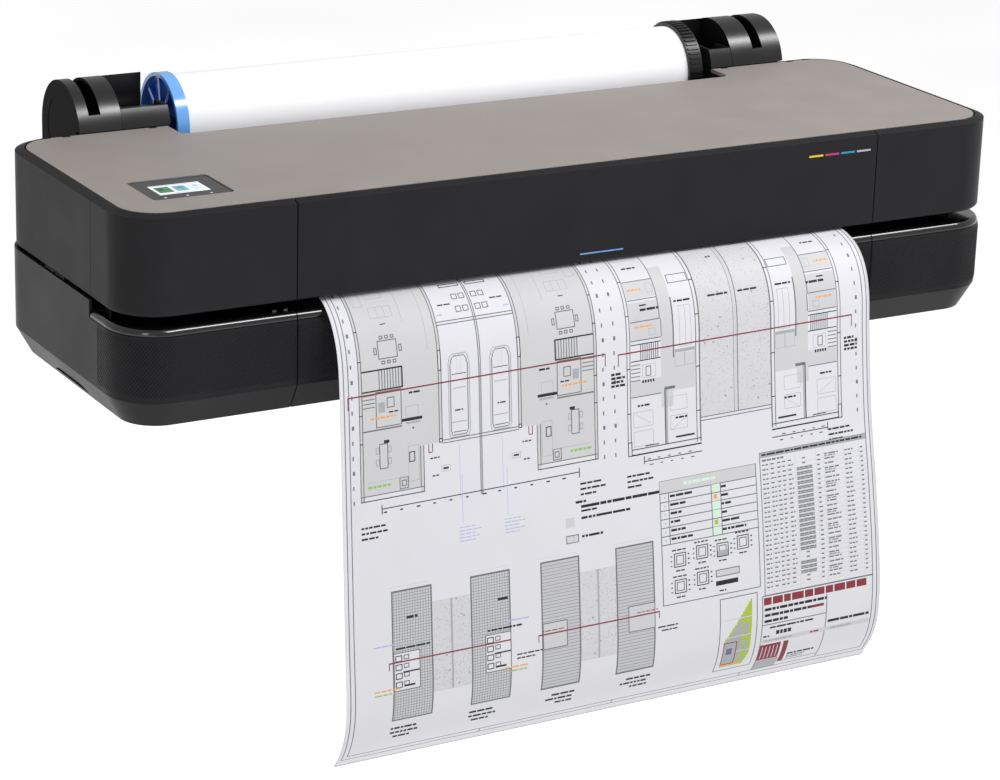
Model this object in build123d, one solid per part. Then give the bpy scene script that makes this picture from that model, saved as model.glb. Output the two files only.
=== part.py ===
from build123d import *
import math
import os

# Large format roll plotter: 24 inch roll on a rear spindle, hinged full-width lid, fixed case on a base pan.
# Millimetres. +X to the right seen from the front, the front faces -Y, +Z up.
# The origin is the centre of the four stand bolts, on the underside of the base pan.

# ---- case -------------------------------------------------------------------
case_width = 1013.0
case_depth = 322.0
front_y = -220.0
rear_y = front_y + case_depth
mid_y = (front_y + rear_y) / 2
corner_radius = 50.0
wall = 3.0
lower_proud = 2.0               # the lower body stands out from the upper one by this much
seam = 1.2                      # open line between two neighbouring covers
seat_gap = 0.3                  # air between pieces that lie on each other

foot_height = 16.0
foot_radius = 14.0
foot_x = 430.0
foot_y = (-140.0, 60.0)

lower_top = 93.0                # top of the lower front wall
side_top = 110.6                # top of the lower side wall
upper_bottom = 112.0            # lower edge of the upper body
rim_z = 209.0                   # outer edge of the rim
lid_top = 212.0
chamfer_in = 15.0
chamfer_up = 27.0
flange = 15.0                   # bottom flange of the lower panels
pan_thickness = 3.0
pan_lap = 2.0                   # the pan's lip, which lies on the panels' flange

left_seam = -330.0              # front seams between corner covers and middle covers
right_seam = 344.0
side_seam_y = -132.0            # seam on both sides, and the back end of the slot
rim_inset = 9.0                 # width of the sloping rim
rim_inner = 9.6
lid_gap = 1.8                   # open line between rim and lid panel
ledge_inset = 16.0
ledge_thickness = 1.6
lid_thickness = 4.0
edge_round = 3.8
grip_length = 104.0
grip_height = 13.0
grip_start = 4.0
grip_depth = 1.0
grip_y = -57.0

# ---- roll recess at the back --------------------------------------------------
recess_left = -328.0
recess_right = 336.0
recess_front = rear_y - 48.0
recess_corner = 10.0

# ---- slot trim and paper path -------------------------------------------------
trim_top = 101.0
trim_round = 6.4
trim_depth = 38.0
trim_thickness = 2.4
paper_z = 112.5                 # underside of the sheet where it runs level
paper_thickness = 0.3
paper_width = 610.0
paper_x = 3.5                   # centre of the sheet and the roll
platen_drop = 0.7               # platen top below the sheet
bend_y = rear_y - 57.0                   # where the sheet turns up towards the roll
print_front = -102.0
print_rear = -40.0

# ---- roll, spindle and holders --------------------------------------------------
roll_y = rear_y + 41.0
roll_z = 204.5
roll_radius = 47.0
core_outer = 28.4
core_inner = 25.6
shaft_radius = 12.0
running_fit = 0.05
bushing_radius = 17.5
saddle_gap = 0.3
blue_width = 13.5
blue_radius = 50.0
black_width = 17.0
black_radius = 52.4
black_ribs = 60
black_rib_width = 2.4
hub_sleeve = 26.0
hub_gap = 9.0                   # between a hub and its cradle
holder_radius = 52.0
holder_base = 120.0
holder_wall = 3.0
lid_clear = 0.7                 # air between the lid and a holder over it
cradle_left_width = 53.0
cradle_right_width = 28.5
holder_left_width = 47.0
holder_right_width = 64.0
cradle_top = 232.0
cradle_web = 4.0
guard_left_width = 50.0
guard_right_width = 36.0
guard_y = roll_y + bushing_radius + 1.1
groove_width = 13.0
groove_left = 22.0              # from the cradle to the groove
groove_right = 29.0
groove_end_z = 229.0
holder_step = 0.4               # line between cradle and holder
end_cap = 4.0
cap_recess = 0.5
cap_recess_radius = 36.0
guard_thickness = 3.0

# ---- control panel ----------------------------------------------------------------
panel_x = -413.0
panel_y = -131.8
panel_width = 85.0
panel_depth = 70.0
panel_corner = 5.0
glass_drop = 0.9
glass_thickness = 2.0
display_x = -414.5
display_y = -132.3
display_width = 53.0
display_depth = 32.5
mark_z = 194.0
mark_height = 2.0
mark_width = 17.4
mark_pitch = 20.0
mark_start = 258.0
mark_proud = 0.25

# ---- moving parts inside ------------------------------------------------------------
frame_x = 485.0
frame_thickness = 2.5
rail_radius = 7.0
rail_y = -70.0
rail_z = 165.0
rail_fit = 0.06
carriage_rest = 400.0
carriage_width = 100.0
carriage_front = -112.0
carriage_back = -54.0
carriage_bottom = 120.0
carriage_top = 185.0
head_bottom = 114.2
belt_z = 150.0
belt_height = 8.0
belt_thickness = 1.2
pulley_radius = 8.0
pulley_x = 465.0
pulley_y = -38.0
motor_radius = 17.0
motor_length = 38.0
feed_radius = 12.0
feed_y = -15.0
feed_half = 320.0
feed_shaft = 5.0
nip_gap = 0.3
pinch_radius = 5.0
pinch_shaft = 2.0
pinch_count = 6
pinch_width = 25.0
feed_wheel = 24.0
motor_wheel = 8.0
wheel_width = 8.0
feed_drop = 46.0                # feed motor's axis below the feed roller's
cutter_rest = 362.0
cutter_width = 40.0
cartridge_width = 28.0
cartridge_depth = 76.0
cartridge_height = 72.0
hinge_y = rear_y - 12.0
hinge_z = lid_top - lid_thickness / 2
hinge_pin = 1.0
knuckle_width = 8.0
knuckles = (-440.0, -345.0, 352.0, 440.0)

# ---- stand bolts and screws ---------------------------------------------------------
bolt_dx = 800.0
bolt_dy = 120.0
bolt_radius = 3.0
boss_radius = 9.0
boss_height = 12.0
screw_x = (-290.0, 4.0, 298.0)
screw_z = (24.0, 92.0)
screw_radius = 2.0
screw_head = 4.0

feed_z = paper_z - nip_gap - feed_radius
pinch_z = paper_z + paper_thickness + nip_gap + pinch_radius
roll_left = paper_x - paper_width / 2
roll_right = paper_x + paper_width / 2
cradle_left_end = roll_left - blue_width - hub_gap
cradle_right_end = roll_right + black_width + hub_gap + 2.0
holder_left_x = cradle_left_end - cradle_left_width
holder_right_x = cradle_right_end + cradle_right_width


def save(node, shape):
    export_step(shape, f"parts/{node}.step")


def span(x0, x1, y0, y1, z0, z1):
    """A box between two corners."""
    return Pos((x0 + x1) / 2, (y0 + y1) / 2, (z0 + z1) / 2) * Box(x1 - x0, y1 - y0, z1 - z0)


def rod_x(radius, x0, x1, y, z):
    return Pos((x0 + x1) / 2, y, z) * Rot(0, 90, 0) * Cylinder(radius, x1 - x0)


def rod_y(radius, x, y0, y1, z):
    return Pos(x, (y0 + y1) / 2, z) * Rot(90, 0, 0) * Cylinder(radius, y1 - y0)


def rod_z(radius, x, y, z0, z1):
    return Pos(x, y, (z0 + z1) / 2) * Cylinder(radius, z1 - z0)


def outline(inset, z):
    """The case's plan, drawn in by inset, at height z."""
    plan = RectangleRounded(case_width - 2 * inset, case_depth - 2 * inset, corner_radius - inset)
    return Pos(0, mid_y, z) * plan


def block(inset, z0, z1):
    return extrude(outline(inset, z0), z1 - z0)


def taper(inset0, z0, inset1, z1):
    return loft([outline(inset0, z0), outline(inset1, z1)], ruled=True)


def in_yz(x0, x1, points):
    """A prism along X over a closed polygon of (y, z) points."""
    face = make_face(Polyline(*[(0, y, z) for y, z in points], close=True))
    return Pos(x0, 0, 0) * extrude(face, x1 - x0, dir=(1, 0, 0))


# ---- lower body ----------------------------------------------------------------------


def lower_shell():
    shell = lower_outside(0) - lower_outside(wall) - block(chamfer_in + flange, -1, wall + 1)
    return shell - span(-case_width, case_width, front_y - 9, side_seam_y, lower_top, side_top + 1)


def lower_outside(inset):
    """Outer form of the lower body, drawn in by inset."""
    up = chamfer_up + inset / 2
    face = inset - lower_proud
    return taper(chamfer_in + face, inset, face, up) + block(face, up, side_top + inset)


def grip(side):
    """Shallow finger scoop under one side, an arc that rises from the bottom edge."""
    radius = (grip_length ** 2 / 4 + grip_height ** 2) / (2 * grip_height)
    edge = side * case_width / 2
    scoop = rod_x(radius, *sorted((edge - side * 40, edge + side * 9)), grip_y, grip_height - radius)
    scoop = scoop & span(-case_width, case_width, front_y, rear_y, grip_start, grip_height + 1)
    return (lower_outside(0) - lower_outside(grip_depth)) & scoop


def lower_front_panel():
    shell = lower_shell()
    return shell & span(left_seam + seam / 2, right_seam - seam / 2, front_y - 9, front_y + 60, -1, side_top)


def lower_side(side):
    """Side cover that goes round the front corner and the rear corner."""
    shell = lower_shell() - grip(side)
    inner = left_seam if side < 0 else right_seam
    rear_inner = recess_left if side < 0 else recess_right
    far = side * case_width
    front = span(*sorted((inner + side * seam / 2, far)), front_y - 9, mid_y, -1, 200)
    back = span(*sorted((rear_inner + side * seam / 2, far)), mid_y, rear_y + 9, -1, 200)
    cover = (shell & front) + (shell & back)
    if side < 0:
        return cover - inlet_hole()
    return cover - port_holes()


def inlet_hole():
    return span(-440.3, -411.7, rear_y - 8, rear_y + 8, 24.7, 48.3)


def port_holes():
    return span(373.7, 390.3, rear_y - 8, rear_y + 8, 29.7, 44.3) + span(399.7, 414.3, rear_y - 8, rear_y + 8, 29.7, 42.3)


def rear_panel():
    """Low back wall with the paper guide on it, two cheeks and the wall in front of the roll."""
    slope = math.tan(math.radians(web_angle()))
    guide_z = paper_z - 2.2
    back_z = guide_z + (rear_y - bend_y) * slope
    low = 0.6
    left, right = recess_left + seam, recess_right - seam
    thin = 2.5
    profile = [
        (rear_y, wall + low),
        (rear_y, back_z),
        (bend_y, guide_z),
        (feed_y + 28, guide_z),
        (feed_y + 28, guide_z - thin),
        (bend_y, guide_z - thin),
        (rear_y - wall, back_z - thin - wall * slope),
        (rear_y - wall, wall + low),
    ]
    panel = in_yz(left, right, profile)
    front_wall = span(left, right, recess_front - 5, recess_front - 2, 126, lid_top - lid_thickness - 0.6)
    cheeks = [
        in_yz(x, x + thin, [(recess_front - 5, 100), (rear_y, 118), (rear_y, 150), (recess_front - 2, 200),
                            (recess_front - 5, 200)])
        for x in (left, right - thin)
    ]
    panel = panel + front_wall + cheeks[0] + cheeks[1]
    for x in screw_x:
        for z in screw_z:
            panel = panel - rod_y(screw_radius + 0.1, x, rear_y - 8, rear_y + 1, z)
    return panel


def base_pan():
    """Floor of the machine: lip on the panels' flange, stiffening ribs, bolt bosses and a back flange."""
    edge = chamfer_in + flange + 0.6
    pan = block(edge, 0, wall + 0.2) + block(edge - 8, wall + 0.2, wall + 0.2 + pan_lap)
    top = wall + 0.2 + pan_lap
    for x in (-250, -125, 0, 125, 250):
        pan = pan + span(x - 1.5, x + 1.5, -180, 60, top - 1, top + 8)
    for y in (-150, 40):
        pan = pan + span(-330, 330, y - 1.5, y + 1.5, top - 1, top + 8)
    for x, y in bolt_places():
        pan = pan + rod_z(boss_radius, x, y, 0, boss_height)
    pan = pan + span(-310, 318, rear_y - wall - 3.5, rear_y - wall - 0.5, top + 1, 104)
    pan = pan + span(-310, 318, 60, rear_y - wall - 0.5, top - 1, top + 2)
    for x, y in bolt_places():
        pan = pan - rod_z(bolt_radius, x, y, -1, boss_height + 1)
    for x in screw_x:
        for z in screw_z:
            pan = pan - rod_y(screw_radius + 0.1, x, rear_y - 12, rear_y - 1, z)
    for x, y in foot_places():
        pan = pan - rod_z(3.1, x, y, -1, 20)
    return pan


def bolt_places():
    return [(sx * bolt_dx / 2, sy * bolt_dy / 2) for sx in (-1, 1) for sy in (-1, 1)]


def foot_places():
    return [(sx * foot_x, y) for sx in (-1, 1) for y in foot_y]


def rubber_feet():
    feet = []
    for x, y in foot_places():
        pad = fillet(rod_z(foot_radius, x, y, -foot_height, 0).edges().group_by(Axis.Z)[0], 2)
        feet.append(pad + rod_z(3.0, x, y, -1, wall + pan_lap + 2))
    return Compound(children=feet)


def case_screws():
    screws = []
    for x in screw_x:
        for z in screw_z:
            head = rod_y(screw_head, x, rear_y, rear_y + 2, z) - (Pos(x, rear_y + 2, z) * Box(5, 1.4, 1))
            screws.append(head + rod_y(screw_radius, x, rear_y - 9, rear_y, z))
    return Compound(children=screws)


# ---- upper body -----------------------------------------------------------------------


def upper_shell():
    outside = block(0, upper_bottom, rim_z)
    outside = fillet(outside.edges().group_by(Axis.Z)[0], edge_round)
    outside = outside + taper(0, rim_z, rim_inset, lid_top)
    ledge_top = lid_top - lid_thickness - 0.4
    shell = outside - block(wall, upper_bottom - 1, ledge_top - ledge_thickness)
    return shell - block(rim_inner, ledge_top, lid_top + 1) - block(ledge_inset, 100, lid_top)


def upper_corner(side):
    shell = upper_shell()
    inner = left_seam if side < 0 else right_seam
    region = span(*sorted((inner + side * seam / 2, side * case_width)), front_y - 1, side_seam_y - seam / 4, 90, 220)
    return shell & region


def upper_side(side):
    """Rear side cover: side wall, back wall, the recess's side wall and the lid hinge's fixed knuckles."""
    inner = recess_left if side < 0 else recess_right
    region = span(*sorted((inner, side * case_width)), side_seam_y + seam / 4, rear_y + 1, 90, 220)
    cover = upper_shell() & region
    ledge_top = lid_top - lid_thickness - 0.4
    cheek = span(*sorted((inner, inner + side * wall)), recess_front - 2, rear_y - 0.5, upper_bottom, ledge_top)
    cover = cover + cheek
    for x in [k for k in knuckles if k * side > 0]:
        cover = cover + fixed_knuckle(x)
    return cover


def fixed_knuckle(x):
    """Hinge eye on a post in front of the back wall."""
    half = knuckle_width / 2
    eye = rod_x(lid_thickness / 2, x - half, x + half, hinge_y, hinge_z)
    ledge_z = lid_top - lid_thickness - 0.4
    post = span(x - half, x + half, hinge_y - 1.5, hinge_y + 2, ledge_z - 1, hinge_z)
    return eye + post - rod_x(hinge_pin + running_fit, x - half - 1, x + half + 1, hinge_y, hinge_z)


# ---- lid --------------------------------------------------------------------------------


def lid_panel():
    """Full-width top panel with the roll recess, the control panel's pocket and the hinge's moving eyes."""
    bottom = lid_top - lid_thickness
    panel = block(rim_inner + lid_gap, bottom, lid_top)
    panel = panel & span(-case_width, case_width, front_y, hinge_y, 0, 300)
    round_end = case_width / 2 - corner_radius
    for x0, x1 in ((-case_width, -round_end), (round_end, case_width)):
        panel = panel - span(x0, x1, hinge_y - 1.8, rear_y, bottom - 1, lid_top + 1)
    panel = panel + rod_x(lid_thickness / 2, -round_end, recess_left, hinge_y, hinge_z)
    panel = panel + rod_x(lid_thickness / 2, recess_right, round_end, hinge_y, hinge_z)
    cut = span(recess_left, recess_right, recess_front, rear_y + 5, 0, 300)
    cut = fillet(cut.edges().filter_by(Axis.Z).group_by(Axis.Y)[0], recess_corner)
    panel = panel - cut
    for x in knuckles:
        half = knuckle_width / 2 + 0.6
        panel = panel - span(x - half, x + half, hinge_y - 3.2, rear_y, bottom - 1, lid_top + 1)
    for x0, x1 in pin_spans():
        panel = panel - rod_x(hinge_pin + running_fit, x0 - 0.5, x1 + 0.5, hinge_y, hinge_z)
    pocket = Pos(panel_x, panel_y, lid_top) * extrude(RectangleRounded(panel_width, panel_depth, panel_corner), -3.2)
    return panel - pocket


def pin_spans():
    """Each hinge pin joins one fixed eye to the lid on the side of it that faces the middle of the cover."""
    spans = []
    for x in knuckles:
        half = knuckle_width / 2
        inward = 1 if x in (knuckles[0], knuckles[2]) else -1
        spans.append(tuple(sorted((x - inward * half, x + inward * (half + 18)))))
    return spans


def hinge_pins():
    return Compound(children=[rod_x(hinge_pin, x0, x1, hinge_y, hinge_z) for x0, x1 in pin_spans()])


def lid_front_cover():
    """Middle front cover, from the slot up to the rim."""
    shell = upper_shell()
    return shell & span(left_seam + seam / 2, right_seam - seam / 2, front_y - 1, front_y + 30, 90, 220)


def lid_frame():
    """Ladder frame under the lid panel, with hooks down to the front cover."""
    top = lid_top - lid_thickness - 0.1
    low = top - 6
    x0, x1 = left_seam + 12, right_seam - 12
    y0, y1 = front_y + ledge_inset + 0.6, recess_front - 8
    frame = span(x0, x1, y0, y1, low, top) - span(x0 + 12, x1 - 12, y0 + 12, y1 - 12, low - 1, top + 1)
    for k in range(1, 5):
        x = x0 + (x1 - x0) * k / 5
        frame = frame + span(x - 4, x + 4, y0 + 6, y1 - 6, low, top)
    hook_y = front_y + wall + 0.1
    for k in range(4):
        x = x0 + 30 + (x1 - x0 - 60) * k / 3
        frame = frame + span(x - 12, x + 12, y0, y0 + 3, 176, low + 1) + span(x - 12, x + 12, hook_y, y0 + 3, 176, 179)
    return frame


def screen_glass():
    gap = 0.3
    plate = RectangleRounded(panel_width - 2 * gap, panel_depth - 2 * gap, panel_corner - gap)
    glass = Pos(panel_x, panel_y, lid_top - glass_drop) * extrude(plate, -glass_thickness)
    return glass - Pos(display_x, display_y, lid_top - glass_drop) * Box(display_width, display_depth, 0.8)


def screen_display():
    top = lid_top - glass_drop
    x0, x1 = display_x - display_width / 2 + 0.05, display_x + display_width / 2 - 0.05
    y0, y1 = display_y - display_depth / 2 + 0.05, display_y + display_depth / 2 - 0.05
    return span(x0, x1, y0, y1, top - 0.4, top + 0.02)


def colour_mark(index):
    x0 = mark_start + index * mark_pitch
    return span(x0, x0 + mark_width, front_y - mark_proud, front_y, mark_z - mark_height / 2, mark_z + mark_height / 2)


# ---- slot and paper path --------------------------------------------------------------------


def slot_trim():
    """Glossy rounded ledge over the lower front wall, in three lengths."""
    face = 0.6 - lower_proud
    outside = block(face, lower_top + 0.8, trim_top)
    outside = fillet(outside.edges().group_by(Axis.Z)[-1], trim_round)
    trim = outside - block(face + trim_thickness, lower_top, trim_top - trim_thickness) - block(trim_depth, 0, 200)
    cuts = (-case_width, left_seam, right_seam, case_width)
    lengths = []
    for x0, x1 in zip(cuts[:-1], cuts[1:]):
        region = span(x0 + seam / 2, x1 - seam / 2, front_y - 9, side_seam_y - 0.4, 80, 120)
        lengths += (trim & region).solids()
    return Compound(children=lengths)


def output_platen():
    """Gloss black slope from the trim up to the print platen."""
    y0 = front_y + trim_depth + 0.4
    top = paper_z - platen_drop
    thin = 2.4
    profile = [(y0, trim_top), (y0 + 32, top), (print_front - 0.4, top), (print_front - 0.4, top - thin),
               (y0 + 32, top - thin), (y0, trim_top - thin)]
    plate = in_yz(-385, 390, profile)
    for k in range(13):
        x = -(paper_width + 20) / 2 + k * (paper_width + 20) / 12
        plate = plate + span(x - 1, x + 1, y0 + 36, print_front - 4, top - 8, top - thin + 0.5)
    return plate - span(feed_half + 20, 400, carriage_front - 4, print_front, 90, 120)


def print_platen():
    """Ribbed support under the head's path."""
    top = paper_z - platen_drop
    platen = span(-feed_half, feed_half, print_front, print_rear, top - 12, top - 2)
    for k in range(32):
        x = -feed_half + 10 + k * 20
        platen = platen + span(x - 1, x + 1, print_front + 2, print_rear - 2, top - 3, top)
    return platen


def web_angle():
    """Slope of the sheet from its bend up to the underside of the roll, in degrees."""
    dy, dz = roll_y - bend_y, roll_z - paper_z
    reach = math.hypot(dy, dz)
    return math.degrees(math.atan2(dz, dy) - math.asin((roll_radius + 0.6 + paper_thickness) / reach))


# Side outlines of the hanging sheet as (y, z): the right edge stands further out than the left one.
left_edge = [(-186, 112.5), (-194, 112.3), (-213, 107.6), (-227, 99), (-240, 84), (-250, 62), (-256, 28),
             (-263, -55), (-270, -146), (-277, -238), (-281.6, -292), (-279.5, -322), (-270, -349), (-255, -371)]
right_edge = [(-186, 112.5), (-194, 112.4), (-213, 110.2), (-231, 106), (-248, 97), (-262, 80), (-271, 54),
              (-276, 14), (-288, -66), (-305, -142), (-319, -212), (-325.5, -270), (-320, -308), (-300, -343)]


def beside(points, distance):
    """The outline again, a distance out along its own normals."""
    moved = []
    for k, (y, z) in enumerate(points):
        before, after = points[max(k - 1, 0)], points[min(k + 1, len(points) - 1)]
        dy, dz = after[0] - before[0], after[1] - before[1]
        if k == 0:
            dy, dz = -1, 0
        size = math.hypot(dy, dz)
        moved.append((y + distance * dz / size, z - distance * dy / size))
    return moved


def sheet_end(x, points):
    """Cross-section of the hanging sheet at one side edge."""
    outer = beside(points, paper_thickness)
    inside = Spline(*[(x, y, z) for y, z in points])
    outside = Spline(*[(x, y, z) for y, z in outer])
    ends = [Line(inside @ 0, outside @ 0), Line(inside @ 1, outside @ 1)]
    return make_face([inside, outside] + ends)


def printed_sheet():
    """The sheet from the underside of the roll, through the machine and down in front of it."""
    x0, x1 = roll_left, roll_right
    level = span(x0, x1, left_edge[0][0], bend_y, paper_z, paper_z + paper_thickness)
    angle = web_angle()
    reach = math.sqrt((roll_y - bend_y) ** 2 + (roll_z - paper_z) ** 2 - (roll_radius + 0.6) ** 2)
    strip = Pos((x0 + x1) / 2, reach / 2, paper_thickness / 2) * Box(x1 - x0, reach, paper_thickness)
    rising = Pos(0, bend_y, paper_z) * Rot(angle, 0, 0) * strip
    hanging = loft([sheet_end(x0, left_edge), sheet_end(x1, right_edge)], ruled=True)
    return level + rising + hanging


# ---- roll and spindle ---------------------------------------------------------------------


def spindle_shaft():
    x0, x1 = holder_left_x + 3, holder_right_x - 3
    return rod_x(shaft_radius, x0, x1, roll_y, roll_z) - rod_x(shaft_radius - 3, x0 - 1, x1 + 1, roll_y, roll_z)


def spindle_bushings():
    rings = []
    left, right = roll_left - blue_width, roll_right + black_width
    for x0, x1 in ((holder_left_x + 4, left - 0.6), (right + 0.6, holder_right_x - 4)):
        ring = rod_x(bushing_radius, x0, x1, roll_y, roll_z)
        rings.append(ring - rod_x(shaft_radius + running_fit, x0 - 1, x1 + 1, roll_y, roll_z))
    return Compound(children=rings)


def hub_blue():
    """Loose hub: twelve-sided rim, recessed face with spokes and a sleeve into the core."""
    x0, x1 = roll_left - blue_width, roll_left
    rim = rod_x(blue_radius, x0, x1, roll_y, roll_z)
    facets = extrude(RegularPolygon(blue_radius * 1.012, 24, major_radius=True), blue_width)
    rim = rim & (Pos(x0, roll_y, roll_z) * Rot(0, 90, 0) * facets)
    hub = rim - rod_x(blue_radius - 4, x0 - 1, x1 - 6, roll_y, roll_z)
    hub = hub + rod_x(20, x0 + 1.5, x1 - 1, roll_y, roll_z)
    spoke = span(x0 + 3, x1 - 5, roll_y + 18, roll_y + blue_radius - 3, roll_z - 2, roll_z + 2)
    for k in range(9):
        hub = hub + Pos(0, roll_y, roll_z) * Rot(40 * k, 0, 0) * Pos(0, -roll_y, -roll_z) * spoke
    hub = hub + rod_x(core_inner - 0.3, x1 - 1, x1 + hub_sleeve, roll_y, roll_z)
    return hub - rod_x(shaft_radius + running_fit, x0 - 5, x1 + hub_sleeve + 5, roll_y, roll_z)


def hub_black():
    """Fixed hub with a ribbed rim."""
    x0, x1 = roll_right, roll_right + black_width
    hub = rod_x(black_radius - 1.4, x0, x1, roll_y, roll_z)
    rib = span(x0 + 1.5, x1 - 1.5, roll_y + black_radius - 3, roll_y + black_radius, roll_z - black_rib_width / 2,
               roll_z + black_rib_width / 2)
    for k in range(black_ribs):
        hub = hub + Pos(0, roll_y, roll_z) * Rot(360 * k / black_ribs, 0, 0) * Pos(0, -roll_y, -roll_z) * rib
    hub = hub - (rod_x(black_radius - 8, x0 + 4, x1 + 1, roll_y, roll_z) - rod_x(18, x0, x1 + 2, roll_y, roll_z))
    hub = hub + rod_x(core_inner - 0.3, x0 - hub_sleeve, x0 + 1, roll_y, roll_z)
    return hub - rod_x(shaft_radius + running_fit, x0 - hub_sleeve - 1, x1 + 5, roll_y, roll_z)


def tube_x(outer, inner, x0, x1):
    return rod_x(outer, x0, x1, roll_y, roll_z) - rod_x(inner, x0 - 1, x1 + 1, roll_y, roll_z)


def arch(radius, x0, x1, base):
    """Holder outline: round over the roll's axis, straight sides below it."""
    round_part = rod_x(radius, x0, x1, roll_y, roll_z)
    form = round_part + span(x0, x1, roll_y - radius, roll_y + radius, base, roll_z)
    return form - span(x0 - 1, x1 + 1, 0, rear_y + seat_gap, 0, lid_top + lid_clear)


def cradle(side):
    """Open trough in front of the spindle's end, with a U-shaped seat for the bushing."""
    near = cradle_left_end if side < 0 else cradle_right_end
    far = (holder_left_x if side < 0 else holder_right_x) - side * holder_step
    x0, x1 = sorted((near, far))
    body = arch(holder_radius - 0.3, x0, x1, holder_base)
    pocket_x = sorted((near + side * cradle_web, far - side * cradle_web))
    body = body - rod_x(holder_radius - 3.4, *pocket_x, roll_y, roll_z)
    body = body - span(x0 - 1, x1 + 1, roll_y - 80, roll_y + 80, cradle_top, 300)
    body = body - span(x0 - 1, x1 + 1, guard_y - 1.5, roll_y + 80, roll_z - 20, 300)
    seat = bushing_radius + saddle_gap
    body = body - rod_x(seat, x0 - 1, x1 + 1, roll_y, roll_z)
    body = body - span(x0 - 1, x1 + 1, roll_y - seat, roll_y + seat, roll_z, 300)
    return body


def holder(side):
    """Arch-shaped roll holder on the back wall, with the guard behind the spindle's end."""
    near = holder_left_x if side < 0 else holder_right_x
    width = holder_left_width if side < 0 else holder_right_width
    far = near + side * width
    x0, x1 = sorted((near, far))
    inner0, inner1 = sorted((near + side * holder_wall, far - side * holder_wall))
    body = arch(holder_radius, x0, x1, holder_base)
    body = body - arch(holder_radius - holder_wall, inner0, inner1, holder_base - 5)
    groove_x = near + side * (groove_left if side < 0 else groove_right)
    ring = tube_x(holder_radius + 1, holder_radius - holder_wall - 1, *sorted((groove_x, groove_x + side * groove_width)))
    body = body - (ring & span(-600, 600, 0, 300, groove_end_z, 300))
    body = body - rod_x(cap_recess_radius, *sorted((far - side * cap_recess, far + side)), roll_y, roll_z)
    if side > 0:
        cap = chamfer(rod_x(holder_radius - 1, far - 1, far + end_cap, roll_y, roll_z).edges(), 0.8)
        body = body + (cap - span(far - 2, far + end_cap + 1, 0, rear_y + seat_gap, 0, lid_top + lid_clear))
    reach = guard_left_width if side < 0 else guard_right_width
    guard = rod_x(holder_radius, *sorted((near + side, near - side * reach)), roll_y, roll_z)
    body = body + (guard & span(-600, 600, guard_y, guard_y + guard_thickness, roll_z - 19.4, 300))
    mount_x = sorted((near - side * 30, far - side * 6))
    foot = span(*mount_x, rear_y + lower_proud + 0.4, rear_y + 30, holder_base - 14, holder_base)
    return body + foot


# ---- drive ------------------------------------------------------------------------------


def frame_plates():
    plates = []
    for side in (-1, 1):
        x0, x1 = sorted((side * frame_x - frame_thickness / 2, side * frame_x + frame_thickness / 2))
        plate = span(x0, x1, -128, 45, 6, 192)
        plate = plate - rod_x(rail_radius + 0.05, x0 - 1, x1 + 1, rail_y, rail_z)
        plate = plate - rod_x(feed_shaft + running_fit, x0 - 1, x1 + 1, feed_y, feed_z)
        if side < 0:
            plate = plate - rod_x(motor_wheel + 2, x0 - 1, x1 + 1, feed_y, feed_z - feed_drop)
        plates.append(plate)
    return Compound(children=plates)


def carriage_rail():
    return rod_x(rail_radius, -frame_x - 6, frame_x + 6, rail_y, rail_z)


def carriage():
    """Print carriage on its rail, with an arm over the belt."""
    x0, x1 = carriage_rest - carriage_width / 2, carriage_rest + carriage_width / 2
    body = span(x0, x1, carriage_front, carriage_back, carriage_bottom, carriage_top)
    body = fillet(body.edges().filter_by(Axis.Z), 6)
    body = body - rod_x(rail_radius + rail_fit, x0 - 1, x1 + 1, rail_y, rail_z)
    body = body - span(x0 + 14, x1 - 14, carriage_front + 6, rail_y - 14, carriage_bottom + 10, carriage_top + 1)
    arm_z = belt_z + belt_height / 2 + 1.2
    return body + span(carriage_rest - 14, carriage_rest + 14, carriage_back - 2, pulley_y - 3, arm_z, arm_z + 4)


def printhead():
    x0, x1 = carriage_rest - 33, carriage_rest + 33
    head = span(x0, x1, carriage_front + 8, rail_y - 16, head_bottom, carriage_bottom - 0.1)
    return head + span(x0 + 8, x1 - 8, carriage_front + 12, rail_y - 20, head_bottom - 0.6, head_bottom)


def belt_loop(radius0, radius1, length):
    """Closed belt round two wheels, in the XY plane, from the first wheel's centre along +X."""
    sine = (radius0 - radius1) / length
    cosine = math.sqrt(1 - sine * sine)
    faces = []
    for grow in (belt_thickness, 0.0):
        a, b = radius0 + 0.3 + grow, radius1 + 0.3 + grow
        web = Polyline((a * sine, a * cosine), (length + b * sine, b * cosine), (length + b * sine, -b * cosine),
                       (a * sine, -a * cosine), close=True)
        faces.append(make_face(web) + Circle(a) + Pos(length, 0) * Circle(b))
    return faces[0] - faces[1]


def carriage_belt():
    loop = extrude(belt_loop(pulley_radius, pulley_radius, 2 * pulley_x), belt_height)
    return Pos(-pulley_x, pulley_y, belt_z - belt_height / 2) * loop


def belt_pulley(side):
    """Pulley with its own spindle."""
    x = side * pulley_x
    low, high = belt_z - belt_height / 2 - 0.2, belt_z + belt_height / 2 + 0.2
    pulley = rod_z(pulley_radius, x, pulley_y, low, high)
    pulley = pulley + rod_z(pulley_radius + 2, x, pulley_y, low - 1.2, low)
    pulley = pulley + rod_z(pulley_radius + 2, x, pulley_y, high, high + 1.2)
    return pulley + rod_z(2.5, x, pulley_y, low - 14, high + 3)


def drive_motor(length):
    """Motor can with a bored nose, standing on its back, nose up at z = 0."""
    can = rod_z(motor_radius, 0, 0, -length - 4, -4) + rod_z(7, 0, 0, -4.5, 0)
    return can - rod_z(2.5 + running_fit, 0, 0, -18, 1)


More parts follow.
